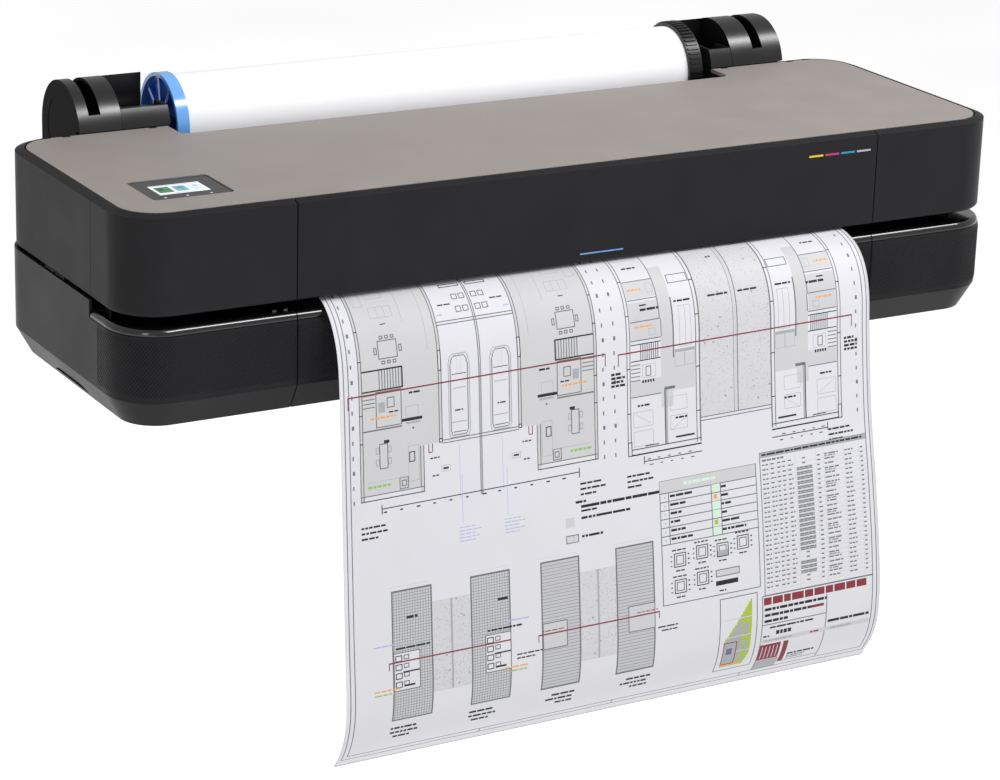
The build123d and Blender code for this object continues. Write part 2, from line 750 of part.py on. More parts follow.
def motors():
    top = belt_z - belt_height / 2 - 1.8
    carriage_motor = Pos(-pulley_x, pulley_y, top) * drive_motor(motor_length)
    place = Pos(-frame_x + frame_thickness / 2 + 0.2, feed_y, feed_z - feed_drop) * Rot(0, -90, 0)
    idler = Pos(pulley_x, pulley_y, top) * (rod_z(9, 0, 0, -14, 0) - rod_z(2.5 + running_fit, 0, 0, -13, 1))
    return Compound(children=[carriage_motor, place * drive_motor(motor_length), idler])


def feed_wheel_x():
    x1 = -frame_x - frame_thickness / 2 - 2.6
    return x1 - wheel_width, x1


def feed_roller():
    roller = rod_x(feed_radius, -feed_half, feed_half, feed_y, feed_z)
    return roller + rod_x(feed_shaft, feed_wheel_x()[0], frame_x + 5, feed_y, feed_z)


def feed_pulley():
    x0, x1 = feed_wheel_x()
    wheel = rod_x(feed_wheel, x0, x1, feed_y, feed_z)
    wheel = wheel - (rod_x(19, x0 - 1, x0 + 2.5, feed_y, feed_z) - rod_x(9, x0 - 1, x0 + 3, feed_y, feed_z))
    return wheel - rod_x(feed_shaft, x0 - 1, x1 + 1, feed_y, feed_z)


def motor_pulley():
    x0, x1 = feed_wheel_x()
    z = feed_z - feed_drop
    return rod_x(motor_wheel, x0, x1, feed_y, z) + rod_x(2.5, x0, -frame_x + frame_thickness / 2 + 14, feed_y, z)


def feed_belt():
    x0, x1 = feed_wheel_x()
    loop = extrude(belt_loop(feed_wheel, motor_wheel, feed_drop), wheel_width - 1.6)
    return Pos(x0 + 0.8, feed_y, feed_z) * Rot(0, 90, 0) * loop


def pinch_places():
    step = (2 * feed_half - 100) / (pinch_count - 1)
    return [-feed_half + 50 + k * step for k in range(pinch_count)]


def pinch_rollers():
    row = rod_x(pinch_shaft, -feed_half - 4, feed_half + 4, feed_y, pinch_z)
    for x in pinch_places():
        row = row + rod_x(pinch_radius, x - pinch_width / 2, x + pinch_width / 2, feed_y, pinch_z)
    return row


def pinch_bar():
    """Channel over the pinch rollers, with an arm at each end and between the rollers."""
    bar = span(-feed_half - 8, frame_x - 2, feed_y - 14, feed_y + 14, pinch_z + 8, pinch_z + 11)
    bar = bar + span(-frame_x + 2, -feed_half - 7, feed_y - 4, feed_y + 14, pinch_z + 8, pinch_z + 11)
    arms = [-feed_half - 2.5, feed_half + 2.5]
    places = pinch_places()
    arms += [(a + b) / 2 for a, b in zip(places[:-1], places[1:])]
    for x in arms:
        bar = bar + span(x - 1.5, x + 1.5, feed_y - 4, feed_y + 4, pinch_z - 3.6, pinch_z + 8.5)
    return bar - rod_x(pinch_shaft + running_fit, -feed_half - 20, feed_half + 20, feed_y, pinch_z)


def encoder_strip():
    return span(-frame_x + 2, frame_x - 2, carriage_front + 14, carriage_front + 14.6, carriage_top + 4, carriage_top + 13)


def cutter():
    """Cutter block that runs across in front of the head."""
    x0, x1 = cutter_rest - cutter_width / 2, cutter_rest + cutter_width / 2
    base = paper_z + paper_thickness + 0.9
    body = span(x0, x1, -150, -120, base, base + 24)
    body = chamfer(body.edges().filter_by(Axis.X).group_by(Axis.Z)[-1], 5)
    return body - rod_y(6, cutter_rest, -151, -146, base + 12)


def service_station():
    """Tub with a capping pad and two wiper blades."""
    x0, x1 = carriage_rest - 52, carriage_rest + 52
    top = head_bottom - 6
    tub = span(x0, x1, carriage_front - 2, rail_y - 6, 12, top - 4)
    tub = tub - span(x0 + 3, x1 - 3, carriage_front + 1, rail_y - 9, 40, top)
    cap = span(carriage_rest - 28, carriage_rest + 28, carriage_front + 10, rail_y - 18, 39, top)
    cap = cap - span(carriage_rest - 25, carriage_rest + 25, carriage_front + 13, rail_y - 21, top - 5, top + 1)
    tub = tub + cap
    for x in (x0 + 10, x0 + 16):
        tub = tub + span(x, x + 1.6, carriage_front + 8, rail_y - 16, 39, top + 2)
    return tub


# ---- ink, electrics -----------------------------------------------------------------------


def bay_left():
    return -frame_x + 8


def cartridge(index):
    x0 = bay_left() + 3 + index * (cartridge_width + 2)
    y0 = front_y + 14
    body = span(x0, x0 + cartridge_width, y0, y0 + cartridge_depth, upper_bottom + 6, upper_bottom + 6 + cartridge_height)
    body = fillet(body.edges().filter_by(Axis.Z), 3)
    return body - span(x0 + 6, x0 + cartridge_width - 6, y0 - 1, y0 + 3, upper_bottom + 44, upper_bottom + 66)


def ink_bay():
    """Open-topped bay with a slot for each cartridge."""
    x0 = bay_left()
    x1 = x0 + 4 + 4 * (cartridge_width + 2)
    y0, y1 = front_y + 11.5, front_y + 14 + cartridge_depth + 3
    z0, z1 = upper_bottom + 2, upper_bottom + 52
    bay = span(x0, x1, y0, y1, z0, z1)
    for k in range(4):
        cx = x0 + 3 + k * (cartridge_width + 2)
        bay = bay - span(cx - 0.4, cx + cartridge_width + 0.4, y0 + 2, y1 - 2, z0 + 3.5, z1 + 1)
    return bay


def main_board():
    """Circuit board on the right rear wall with its two sockets and a few chips."""
    y = rear_y - 11
    board = span(352, 478, y - 1.6, y, 25, 98)
    board = board + span(374, 390, y, rear_y + 0.6, 30, 44) + span(400, 414, y, rear_y + 0.6, 30, 42)
    for x, z, w, h in ((380, 70, 26, 22), (430, 62, 18, 18), (455, 30, 14, 24)):
        board = board + span(x, x + w, y - 5, y - 1.6, z, z + h)
    sockets = span(376, 388, rear_y - 7, rear_y + 2, 32, 42) + span(402, 412, rear_y - 7, rear_y + 2, 32, 40)
    return board - sockets


def power_supply():
    box = fillet(span(-436, -342, -45, 66, 13, 62).edges().filter_by(Axis.Z), 4)
    for k in range(9):
        box = box - span(-427 + k * 9, -423 + k * 9, -30, 50, 60.5, 63)
    return box


def power_inlet():
    """Mains inlet through the left back wall."""
    body = span(-440, -412, 74, rear_y + 1, 25, 48)
    body = body - span(-437, -415, rear_y - 12, rear_y + 2, 28, 45)
    for x, z in ((-431, 34), (-421, 34), (-426, 40)):
        body = body + span(x - 1, x + 1, rear_y - 14, rear_y - 3, z - 2, z + 2)
    return body


def build():
    os.makedirs("parts", exist_ok=True)
    parts = {
        "base_pan": base_pan(),
        "rubber_feet": rubber_feet(),
        "case_screws": case_screws(),
        "lower_front_panel": lower_front_panel(),
        "lower_side_left": lower_side(-1),
        "lower_side_right": lower_side(1),
        "rear_panel": rear_panel(),
        "upper_corner_left": upper_corner(-1),
        "upper_corner_right": upper_corner(1),
        "upper_side_left": upper_side(-1),
        "upper_side_right": upper_side(1),
        "slot_trim": slot_trim(),
        "lid_panel": lid_panel(),
        "lid_front_cover": lid_front_cover(),
        "lid_frame": lid_frame(),
        "hinge_pins": hinge_pins(),
        "screen_glass": screen_glass(),
        "screen_display": screen_display(),
        "output_platen": output_platen(),
        "print_platen": print_platen(),
        "printed_sheet": printed_sheet(),
        "spindle_shaft": spindle_shaft(),
        "spindle_bushings": spindle_bushings(),
        "hub_blue": hub_blue(),
        "hub_black": hub_black(),
        "roll_core": tube_x(core_outer, core_inner, roll_left, roll_right),
        "paper_roll": tube_x(roll_radius, core_outer + 0.1, roll_left, roll_right),
        "cradle_left": cradle(-1),
        "cradle_right": cradle(1),
        "holder_left": holder(-1),
        "holder_right": holder(1),
        "frame_plates": frame_plates(),
        "carriage_rail": carriage_rail(),
        "carriage": carriage(),
        "printhead": printhead(),
        "carriage_belt": carriage_belt(),
        "drive_pulley": belt_pulley(-1),
        "idler_pulley": belt_pulley(1),
        "motors": motors(),
        "feed_roller": feed_roller(),
        "feed_pulley": feed_pulley(),
        "motor_pulley": motor_pulley(),
        "feed_belt": feed_belt(),
        "pinch_rollers": pinch_rollers(),
        "pinch_bar": pinch_bar(),
        "encoder_strip": encoder_strip(),
        "cutter": cutter(),
        "service_station": service_station(),
        "ink_bay": ink_bay(),
        "main_board": main_board(),
        "power_supply": power_supply(),
        "power_inlet": power_inlet(),
    }
    for index, colour in enumerate(("yellow", "magenta", "cyan", "grey")):
        parts[f"mark_{colour}"] = colour_mark(index)
    for index, colour in enumerate(("black", "cyan", "magenta", "yellow")):
        parts[f"cartridge_{colour}"] = cartridge(index)
    for node, shape in parts.items():
        save(node, shape)
        print(node, len(shape.solids()), round(shape.volume))


build()
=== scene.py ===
import bmesh
import bpy
import math
import random
import numpy as np
from mathutils import Matrix, Vector


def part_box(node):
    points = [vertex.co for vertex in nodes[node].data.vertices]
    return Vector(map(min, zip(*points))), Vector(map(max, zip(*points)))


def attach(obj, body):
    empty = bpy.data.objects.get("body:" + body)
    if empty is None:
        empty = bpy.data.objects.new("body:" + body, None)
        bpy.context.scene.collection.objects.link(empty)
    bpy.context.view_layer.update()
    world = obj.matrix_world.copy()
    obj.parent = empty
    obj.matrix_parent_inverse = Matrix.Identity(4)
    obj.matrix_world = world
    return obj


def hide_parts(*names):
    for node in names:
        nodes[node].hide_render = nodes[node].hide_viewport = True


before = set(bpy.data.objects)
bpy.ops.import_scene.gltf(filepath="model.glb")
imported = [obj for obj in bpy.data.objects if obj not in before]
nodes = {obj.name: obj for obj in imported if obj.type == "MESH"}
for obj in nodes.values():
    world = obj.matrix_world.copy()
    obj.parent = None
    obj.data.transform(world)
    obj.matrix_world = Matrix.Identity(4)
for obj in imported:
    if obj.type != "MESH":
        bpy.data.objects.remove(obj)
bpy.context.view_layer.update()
print("frame loaded:", len(nodes), "nodes")

mm = 0.001
rollLow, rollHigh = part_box("paper_roll")
rollCentre = (Vector(rollLow) + Vector(rollHigh)) / 2
rollRadius = (rollHigh[2] - rollLow[2]) / 2


# materials: what they share

def linear(hexColour):
    # sRGB hex to the linear values that the shaders use
    values = [int(hexColour[k:k + 2], 16) / 255 for k in (1, 3, 5)]
    return tuple(v / 12.92 if v <= 0.04045 else ((v + 0.055) / 1.055) ** 2.4 for v in values) + (1.0,)


def addNode(tree, kind, inputs=(), out=None, **settings):
    # one node with its settings; each socket takes a value or a link, and out picks the socket to hand back
    node = tree.nodes.new("ShaderNode" + kind)
    for name, value in settings.items():
        setattr(node, name, value)
    for name, value in dict(inputs).items():
        socket = node.inputs[name]
        if isinstance(value, bpy.types.NodeSocket):
            tree.links.new(value, socket)
        else:
            socket.default_value = value
    return node if out is None else node.outputs[out]


def newMaterial(name, **sockets):
    material = bpy.data.materials.new(name)
    material.use_nodes = True
    tree = material.node_tree
    tree.nodes.clear()
    values = {socketName.replace("_", " "): value for socketName, value in sockets.items()}
    shader = addNode(tree, "BsdfPrincipled", values)
    addNode(tree, "OutputMaterial", {"Surface": shader.outputs["BSDF"]})
    return material, tree, shader


def plug(tree, shader, **links):
    # joins finished patterns to the shader's own sockets
    for socketName, value in links.items():
        tree.links.new(value, shader.inputs[socketName.replace("_", " ")])


def cloudy(tree, shader, colour, lighter, size, rough, coords, detail=2.0, grain=None, strength=0.35,
           depth=0.03 * mm):
    # colour and roughness that drift over patches of size mm, and a grain of its own size in mm as relief
    cloud = addNode(tree, "TexNoise", {"Vector": coords, "Scale": 1 / (size * mm), "Detail": detail}, "Fac")
    share = addNode(tree, "MapRange", {"Value": cloud, "From Min": 0.3, "From Max": 0.7}, "Result")
    tint = addNode(tree, "Mix", {0: share, 6: linear(colour), 7: linear(lighter)}, 2, data_type="RGBA")
    gloss = addNode(tree, "MapRange", {"Value": cloud, "From Min": 0.3, "From Max": 0.7,
                                       "To Min": rough[0], "To Max": rough[1]}, "Result")
    plug(tree, shader, Base_Color=tint, Roughness=gloss)
    if grain:
        relief = addNode(tree, "TexNoise", {"Vector": coords, "Scale": 1 / (grain * mm), "Detail": 2.0}, "Fac")
        bump = addNode(tree, "Bump", {"Height": relief, "Strength": strength, "Distance": depth}, "Normal")
        plug(tree, shader, Normal=bump)
    return share


# materials: plastics

def mouldedAbs(name, colour, lighter, rough, grain=0.9, depth=0.04, gloss=0.0, specular=0.5):
    # injection-moulded ABS: even colour with a very slight cloud, spark-eroded grain that softens the highlight
    material, tree, shader = newMaterial(name, IOR=1.53, Coat_Weight=gloss, Coat_Roughness=0.06,
                                         Specular_IOR_Level=specular)
    coords = addNode(tree, "TexCoord", (), "Object")
    cloudy(tree, shader, colour, lighter, 60, (rough - 0.03, rough + 0.04), coords, grain=grain, depth=depth * mm)
    return material


plastics = {
    "case": mouldedAbs("satin ABS charcoal", "#1d1d1f", "#212123", 0.44, specular=0.1),
    "ribs": mouldedAbs("satin ABS charcoal ribbed", "#1a1a1c", "#1e1e20", 0.38, specular=0.12),
    "lid": mouldedAbs("satin ABS warm grey", "#8a8380", "#908985", 0.50, 0.7, specular=0.35),
    "inner": mouldedAbs("matte ABS black", "#101011", "#161617", 0.58, specular=0.3),
    "trim": mouldedAbs("polished ABS black", "#060608", "#0a0a0c", 0.14, 2.0, 0.004, 0.6),
    "holder": mouldedAbs("gloss ABS black", "#0b0b0d", "#0f0f11", 0.27, 1.4, 0.01),
    "cradle": mouldedAbs("semi-gloss ABS dark grey", "#1c1c1e", "#222224", 0.30, 1.2, 0.02, 0.0, 0.35),
    "nylon": mouldedAbs("moulded nylon black", "#0c0c0e", "#131315", 0.35, 0.8, 0.03, 0.1, 0.4),
    "acetal": mouldedAbs("turned acetal cream", "#c9c2ad", "#d2ccb8", 0.38, 0.8),
    "keys": mouldedAbs("printed key marks", "#c9ced6", "#d5dae1", 0.4, 1.0),
    "window": mouldedAbs("tinted acrylic light window", "#4d7fc0", "#6d9bd6", 0.25, 1.0),
    "black ink": mouldedAbs("polypropylene black", "#101012", "#18181a", 0.3, 1.0),
    "yellow ink": mouldedAbs("polypropylene yellow", "#c9ab12", "#d6b822", 0.32, 1.0),
    "magenta ink": mouldedAbs("polypropylene magenta", "#a31c62", "#b02a6e", 0.32, 1.0),
    "cyan ink": mouldedAbs("polypropylene cyan", "#1276ab", "#1e84b8", 0.32, 1.0),
    "grey ink": mouldedAbs("polypropylene grey", "#97999e", "#a3a5aa", 0.36, 1.0),
}


def dullEnds(material, roughEnd):
    # the barrel comes polished from the mould and its flat ends textured, so the ends reflect less
    tree = material.node_tree
    shader = next(node for node in tree.nodes if node.type == "BSDF_PRINCIPLED")
    normal = addNode(tree, "TexCoord", (), "Normal")
    across = addNode(tree, "SeparateXYZ", {0: addNode(tree, "VectorMath", {0: normal}, 0, operation="ABSOLUTE")}, "X")
    barrel = shader.inputs["Roughness"].links[0].from_socket
    rough = addNode(tree, "Mix", {0: across, 2: barrel, 3: roughEnd}, 0, data_type="FLOAT")
    level = addNode(tree, "MapRange", {"Value": across, "From Min": 0.6, "From Max": 0.9,
                                       "To Min": 0.62, "To Max": 0.08}, "Result")
    plug(tree, shader, Roughness=rough, Specular_IOR_Level=level)


dullEnds(plastics["holder"], 0.7)


def blueStyrene():
    # clear blue polystyrene hub: dense face, with a paler outer edge that is painted light, standing for light coming
    # through the thin plastic and its highlight
    material, tree, shader = newMaterial("translucent polystyrene blue", IOR=1.59, Subsurface_Weight=0.25,
                                         Subsurface_Scale=0.004, Subsurface_Radius=(0.3, 0.6, 1.0), Coat_Weight=0.3)
    coords = addNode(tree, "TexCoord", (), "Object")
    share = cloudy(tree, shader, "#12459c", "#1b55b4", 14, (0.14, 0.20), coords)
    away = addNode(tree, "VectorMath", {0: coords, 1: rollCentre}, 0, operation="SUBTRACT")
    flat = addNode(tree, "VectorMath", {0: away, 1: (0.0, 1.0, 1.0)}, 0, operation="MULTIPLY")
    radius = addNode(tree, "VectorMath", {0: flat}, "Value", operation="LENGTH")
    # painted light: the outer edge is painted paler blue in place of light shining through it and its highlight
    paintedRimGlow = addNode(tree, "MapRange", {"Value": radius, "From Min": 0.0435, "From Max": 0.0470}, "Result")
    face = addNode(tree, "Mix", {0: share, 6: linear("#12459c"), 7: linear("#1d5cc0")}, 2, data_type="RGBA")
    plug(tree, shader, Base_Color=addNode(tree, "Mix", {0: paintedRimGlow, 6: face, 7: linear("#6ea8e8")}, 2, data_type="RGBA"))
    return material


# materials: metals

def metal(name, colour, lighter, rough, grain, stretch=(1, 1, 1)):
    # stretch draws the grain out along the way the surface was worked
    material, tree, shader = newMaterial(name, Metallic=1.0)
    place = addNode(tree, "TexCoord", (), "Object")
    coords = addNode(tree, "Mapping", {"Vector": place, "Scale": stretch}, "Vector")
    cloudy(tree, shader, colour, lighter, grain, (rough - 0.06, rough + 0.08), coords, 4.0, grain, 0.2, 0.01 * mm)
    return material


zincSheet = metal("zinc plated steel sheet", "#a9aca9", "#c3c5c1", 0.34, 18)
groundSteel = metal("ground steel", "#b6b7b9", "#cfd0d2", 0.20, 3, (0.05, 1, 1))
turnedAluminium = metal("turned aluminium", "#c9cacc", "#dcdddf", 0.28, 1.5, (1, 1, 6))


# materials: rubber, board, glass, film

def rubber(name, colour, lighter, grain, rough=0.75):
    # moulded nitrile rubber: matte, slightly dusty
    material, tree, shader = newMaterial(name, IOR=1.52, Specular_IOR_Level=0.35)
    coords = addNode(tree, "TexCoord", (), "Object")
    cloudy(tree, shader, colour, lighter, 8, (rough - 0.05, rough + 0.1), coords, 4.0, grain, 0.5, 0.1 * mm)
    return material


def toothedBelt(name, pitch, along):
    # neoprene belt with fibre cord; the teeth show as even bands along the run
    material, tree, shader = newMaterial(name, IOR=1.52, Roughness=0.62, Specular_IOR_Level=0.4)
    coords = addNode(tree, "TexCoord", (), "Object")
    fullTurn = 6.283
    bands = addNode(tree, "TexWave", {"Vector": coords, "Scale": 1 / (pitch * mm) / fullTurn}, "Fac",
                    bands_direction=along)
    tint = addNode(tree, "Mix", {0: bands, 6: linear("#0f0f10"), 7: linear("#232325")}, 2, data_type="RGBA")
    bump = addNode(tree, "Bump", {"Height": bands, "Strength": 0.6, "Distance": 0.3 * mm}, "Normal")
    plug(tree, shader, Base_Color=tint, Normal=bump)
    return material


def circuitBoard():
    # FR4 with green solder resist over copper runs
    material, tree, shader = newMaterial("FR4 board with solder resist", IOR=1.5, Coat_Weight=0.4, Coat_Roughness=0.15)
    coords = addNode(tree, "TexCoord", (), "Object")
    cloudy(tree, shader, "#0d4a26", "#0f5a2d", 6, (0.28, 0.42), coords)
    cells = addNode(tree, "TexBrick", {"Vector": coords, "Color1": linear("#0d4a26"), "Color2": linear("#0f5a2d"),
                                       "Mortar": linear("#1c7a41"), "Scale": 90.0, "Mortar Size": 0.03}, "Color")
    plug(tree, shader, Base_Color=cells)
    return material


def panelGlass():
    # toughened glass over a dark printed mask
    material, tree, shader = newMaterial("toughened glass, dark mask", IOR=1.52, Specular_IOR_Level=0.15)
    cloudy(tree, shader, "#2a2a2d", "#303033", 30, (0.12, 0.18), addNode(tree, "TexCoord", (), "Object"))
    return material


def displayPicture():
    # backlit LCD: pale page, a green tile, a steel blue tile, a grey one and rows of plain bars
    material, tree, shader = newMaterial("backlit LCD", IOR=1.5, Emission_Strength=0.22)
    coords = addNode(tree, "TexCoord", (), "Object")
    low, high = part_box("screen_display")
    width, depth = high[0] - low[0], high[1] - low[1]
    share = cloudy(tree, shader, "#dfe4ea", "#e8ecf1", 25, (0.22, 0.28), coords)
    colour = addNode(tree, "Mix", {0: share, 6: linear("#dfe4ea"), 7: linear("#e8ecf1")}, 2, data_type="RGBA")
    # each tile: its centre and half size as shares of the screen, and its colour
    tiles = (
        (0.20, 0.50, 0.145, 0.30, "#1f6b35"), (0.15, 0.56, 0.06, 0.13, "#123f20"), (0.27, 0.62, 0.05, 0.06, "#2f8848"),
        (0.53, 0.50, 0.125, 0.28, "#6fa3b4"), (0.53, 0.58, 0.07, 0.12, "#4c8599"),
        (0.84, 0.50, 0.125, 0.30, "#d3d9e0"), (0.84, 0.60, 0.05, 0.09, "#b3bcc6"),
        (0.50, 0.93, 0.46, 0.045, "#b9c4cf"), (0.50, 0.08, 0.20, 0.02, "#9aa7b4"),
        (0.20, 0.30, 0.09, 0.02, "#2f8848"), (0.53, 0.30, 0.08, 0.02, "#4c8599"), (0.84, 0.30, 0.08, 0.02, "#a3adb8"),
    )
    for acrossShare, upShare, halfAcross, halfUp, shade in tiles:
        centre = (low[0] + acrossShare * width, low[1] + upShare * depth, 0.0)
        away = addNode(tree, "VectorMath", {0: coords, 1: centre}, 0, operation="SUBTRACT")
        parts = addNode(tree, "SeparateXYZ", {0: addNode(tree, "VectorMath", {0: away}, 0, operation="ABSOLUTE")})
        insideX = addNode(tree, "Math", {0: parts.outputs["X"], 1: halfAcross * width}, 0, operation="LESS_THAN")
        insideY = addNode(tree, "Math", {0: parts.outputs["Y"], 1: halfUp * depth}, 0, operation="LESS_THAN")
        inside = addNode(tree, "Math", {0: insideX, 1: insideY}, 0, operation="MULTIPLY")
        colour = addNode(tree, "Mix", {0: inside, 6: colour, 7: linear(shade)}, 2, data_type="RGBA")
    plug(tree, shader, Base_Color=colour, Emission_Color=colour)
    return material


def encoderFilm():
    # PET film with fine ruled lines, drawn at 2 mm because the real 0.1 mm lines are too fine to show
    material, tree, shader = newMaterial("ruled PET film", IOR=1.57, Roughness=0.12)
    coords = addNode(tree, "TexCoord", (), "Object")
    lines = addNode(tree, "TexWave", {"Vector": coords, "Scale": 1 / (2 * mm) / 6.283}, "Fac", bands_direction="X")
    tint = addNode(tree, "Mix", {0: lines, 6: linear("#8f949b"), 7: linear("#d8dce1")}, 2, data_type="RGBA")
    plug(tree, shader, Base_Color=tint)
    return material


# materials: paper

def paperBase(tree, shader, colour, coords):
    # coated paper: near white, faint fibre cloud, soft low sheen
    fibre = addNode(tree, "TexNoise", {"Vector": coords, "Scale": 1 / (1.6 * mm), "Detail": 4.0,
                                       "Roughness": 0.65}, "Fac")
    cloud = addNode(tree, "TexNoise", {"Vector": coords, "Scale": 1 / (45 * mm), "Detail": 2.0}, "Fac")
    part = addNode(tree, "MapRange", {"Value": fibre, "From Min": 0.3, "From Max": 0.7, "To Max": 0.35}, "Result")
    whole = addNode(tree, "MapRange", {"Value": cloud, "From Min": 0.3, "From Max": 0.7, "To Max": 0.65}, "Result")
    shade = addNode(tree, "Math", {0: part, 1: whole}, 0, operation="ADD")
    bump = addNode(tree, "Bump", {"Height": fibre, "Strength": 0.12, "Distance": 0.03 * mm}, "Normal")
    plug(tree, shader, Normal=bump)
    darker = tuple(v * 0.965 for v in linear(colour)[:3]) + (1.0,)
    return addNode(tree, "Mix", {0: shade, 6: darker, 7: linear(colour)}, 2, data_type="RGBA")


def inkOnPaper(name, colour, pattern=None, lineColour="#7b7c80"):
    # pigment ink on coated paper; pattern draws a hatch or a stipple of real size from the sheet's own millimetres
    material, tree, shader = newMaterial(name, IOR=1.5, Roughness=0.62, Specular_IOR_Level=0.35)
    coords = addNode(tree, "UVMap", (), "UV", uv_map="sheetMillimetres")
    base = paperBase(tree, shader, colour, coords)
    mask = None
    if pattern == "stipple":
        for spacing, size, weight in ((2.1, 0.17, 1.0), (11, 0.11, 0.6)):
            spots = addNode(tree, "TexVoronoi", {"Vector": coords, "Scale": 1 / (spacing * mm)}, "Distance")
            near = addNode(tree, "Math", {0: spots, 1: size}, 0, operation="LESS_THAN")
            near = addNode(tree, "Math", {0: near, 1: weight}, 0, operation="MULTIPLY")
            mask = near if mask is None else addNode(tree, "Math", {0: mask, 1: near}, 0, operation="MAXIMUM")
    elif pattern:
        across = addNode(tree, "SeparateXYZ", {0: coords})
        pitch, width = (2.9, 0.5) if pattern == "grid" else (3.4, 0.55)
        for axis in ("Y", "X") if pattern == "grid" else ("Y",):
            step = addNode(tree, "Math", {0: across.outputs[axis], 1: pitch * mm}, 0, operation="MODULO")
            line = addNode(tree, "Math", {0: step, 1: width * mm}, 0, operation="LESS_THAN")
            mask = line if mask is None else addNode(tree, "Math", {0: mask, 1: line}, 0, operation="MAXIMUM")
    if mask is not None:
        base = addNode(tree, "Mix", {0: mask, 6: base, 7: linear(lineColour)}, 2, data_type="RGBA")
    plug(tree, shader, Base_Color=base)
    return material


def woundPaper():
    # roll of coated paper: plain skin, wound layers on the ends, 0.1 mm in the real roll and drawn at 0.9 mm to show
    material, tree, shader = newMaterial("wound coated paper", IOR=1.5, Roughness=0.55, Specular_IOR_Level=0.35)
    coords = addNode(tree, "TexCoord", (), "Object")
    away = addNode(tree, "VectorMath", {0: coords, 1: rollCentre}, 0, operation="SUBTRACT")
    flat = addNode(tree, "VectorMath", {0: away, 1: (0.0, 1.0, 1.0)}, 0, operation="MULTIPLY")
    radius = addNode(tree, "VectorMath", {0: flat}, "Value", operation="LENGTH")
    rings = addNode(tree, "Math", {0: radius, 1: 0.45 * mm}, 0, operation="PINGPONG")
    rings = addNode(tree, "MapRange", {"Value": rings, "From Max": 0.45 * mm}, "Result")
    onEnd = addNode(tree, "Math", {0: radius, 1: rollRadius - 0.4 * mm}, 0, operation="LESS_THAN")
    share = addNode(tree, "Math", {0: rings, 1: onEnd}, 0, operation="MULTIPLY")
    base = paperBase(tree, shader, "#f2f2f4", coords)
    tint = addNode(tree, "Mix", {0: share, 6: base, 7: linear("#cfcfd2")}, 2, data_type="RGBA")
    plug(tree, shader, Base_Color=tint)
    return material


def kraftBoard():
    # spiral wound kraft board core
    material, tree, shader = newMaterial("kraft board", IOR=1.5, Specular_IOR_Level=0.3)
    coords = addNode(tree, "TexCoord", (), "Object")
    cloudy(tree, shader, "#8a6a48", "#a98a63", 2.5, (0.76, 0.84), coords, 5.0, 2.5, 0.3, 0.1 * mm)
    return material


print("materials made")

# CAD nodes and their finishes

finishes = {
    plastics["case"]: ["rear_panel", "upper_corner_left", "upper_corner_right", "upper_side_left",
                       "upper_side_right", "lid_front_cover"],
    plastics["ribs"]: ["lower_front_panel", "lower_side_left", "lower_side_right"],
    plastics["lid"]: ["lid_panel"],
    plastics["inner"]: ["lid_frame", "print_platen", "spindle_shaft", "carriage", "cutter", "service_station",
                        "ink_bay", "power_inlet"],
    plastics["trim"]: ["slot_trim", "output_platen"],
    plastics["holder"]: ["holder_left", "holder_right"],
    plastics["cradle"]: ["cradle_left", "cradle_right", "spindle_bushings"],
    plastics["nylon"]: ["hub_black", "printhead"],
    plastics["acetal"]: ["feed_pulley"],
    blueStyrene(): ["hub_blue"],
    zincSheet: ["base_pan", "frame_plates", "motors", "pinch_bar", "power_supply"],
    groundSteel: ["case_screws", "hinge_pins", "carriage_rail"],
    turnedAluminium: ["drive_pulley", "idler_pulley", "motor_pulley"],
    rubber("nitrile rubber", "#121213", "#1b1b1c", 0.9): ["rubber_feet", "pinch_rollers"],
    rubber("grit coated roller", "#2b2c2e", "#3b3c3e", 0.5, 0.66): ["feed_roller"],
    toothedBelt("neoprene belt, carriage", 2.0, "X"): ["carriage_belt"],
    toothedBelt("neoprene belt, feed", 2.0, "Z"): ["feed_belt"],
    circuitBoard(): ["main_board"],
    panelGlass(): ["screen_glass"],
    displayPicture(): ["screen_display"],
    encoderFilm(): ["encoder_strip"],
    woundPaper(): ["paper_roll"],
    kraftBoard(): ["roll_core"],
    plastics["black ink"]: ["cartridge_black"],
    plastics["yellow ink"]: ["mark_yellow", "cartridge_yellow"],
    plastics["magenta ink"]: ["mark_magenta", "cartridge_magenta"],
    plastics["cyan ink"]: ["mark_cyan", "cartridge_cyan"],
    plastics["grey ink"]: ["mark_grey"],
}
for material, names in finishes.items():
    for name in names:
        nodeMesh = nodes[name].data
        nodeMesh.materials.clear()
        nodeMesh.materials.append(material)
print("finishes given to", sum(len(names) for names in finishes.values()), "nodes")


# pieces: helpers

def addPiece(name, points, faces, material, body, smooth=False):
    pieceMesh = bpy.data.meshes.new(name)
    pieceMesh.from_pydata(points, [], faces)
    pieceMesh.update()
    piece = bpy.data.objects.new(name, pieceMesh)
    bpy.context.scene.collection.objects.link(piece)
    for item in material if isinstance(material, list) else [material]:
        pieceMesh.materials.append(item)
    pieceMesh.polygons.foreach_set("use_smooth", [smooth] * len(faces))
    if body:
        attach(piece, body)
    return piece


def gridFaces(rows, columns, start=0, flip=False):
    faces = []
    for j in range(rows - 1):
        for i in range(columns - 1):
            a = start + j * columns + i
            quad = (a, a + 1, a + columns + 1, a + columns)
            faces.append(quad[::-1] if flip else quad)
    return faces


def rimFaces(rows, columns, offset, flip=False):
    # joins the edges of two equal grids, the second one offset points later
    loop = list(range(columns)) + [j * columns + columns - 1 for j in range(1, rows)]
    loop += [(rows - 1) * columns + i for i in range(columns - 2, -1, -1)]
    loop += [j * columns for j in range(rows - 2, 0, -1)]
    faces = []
    for a, b in zip(loop, loop[1:] + loop[:1]):
        quad = (b, a, a + offset, b + offset)
        faces.append(quad[::-1] if flip else quad)
    return faces


# ribbed band round the lower front

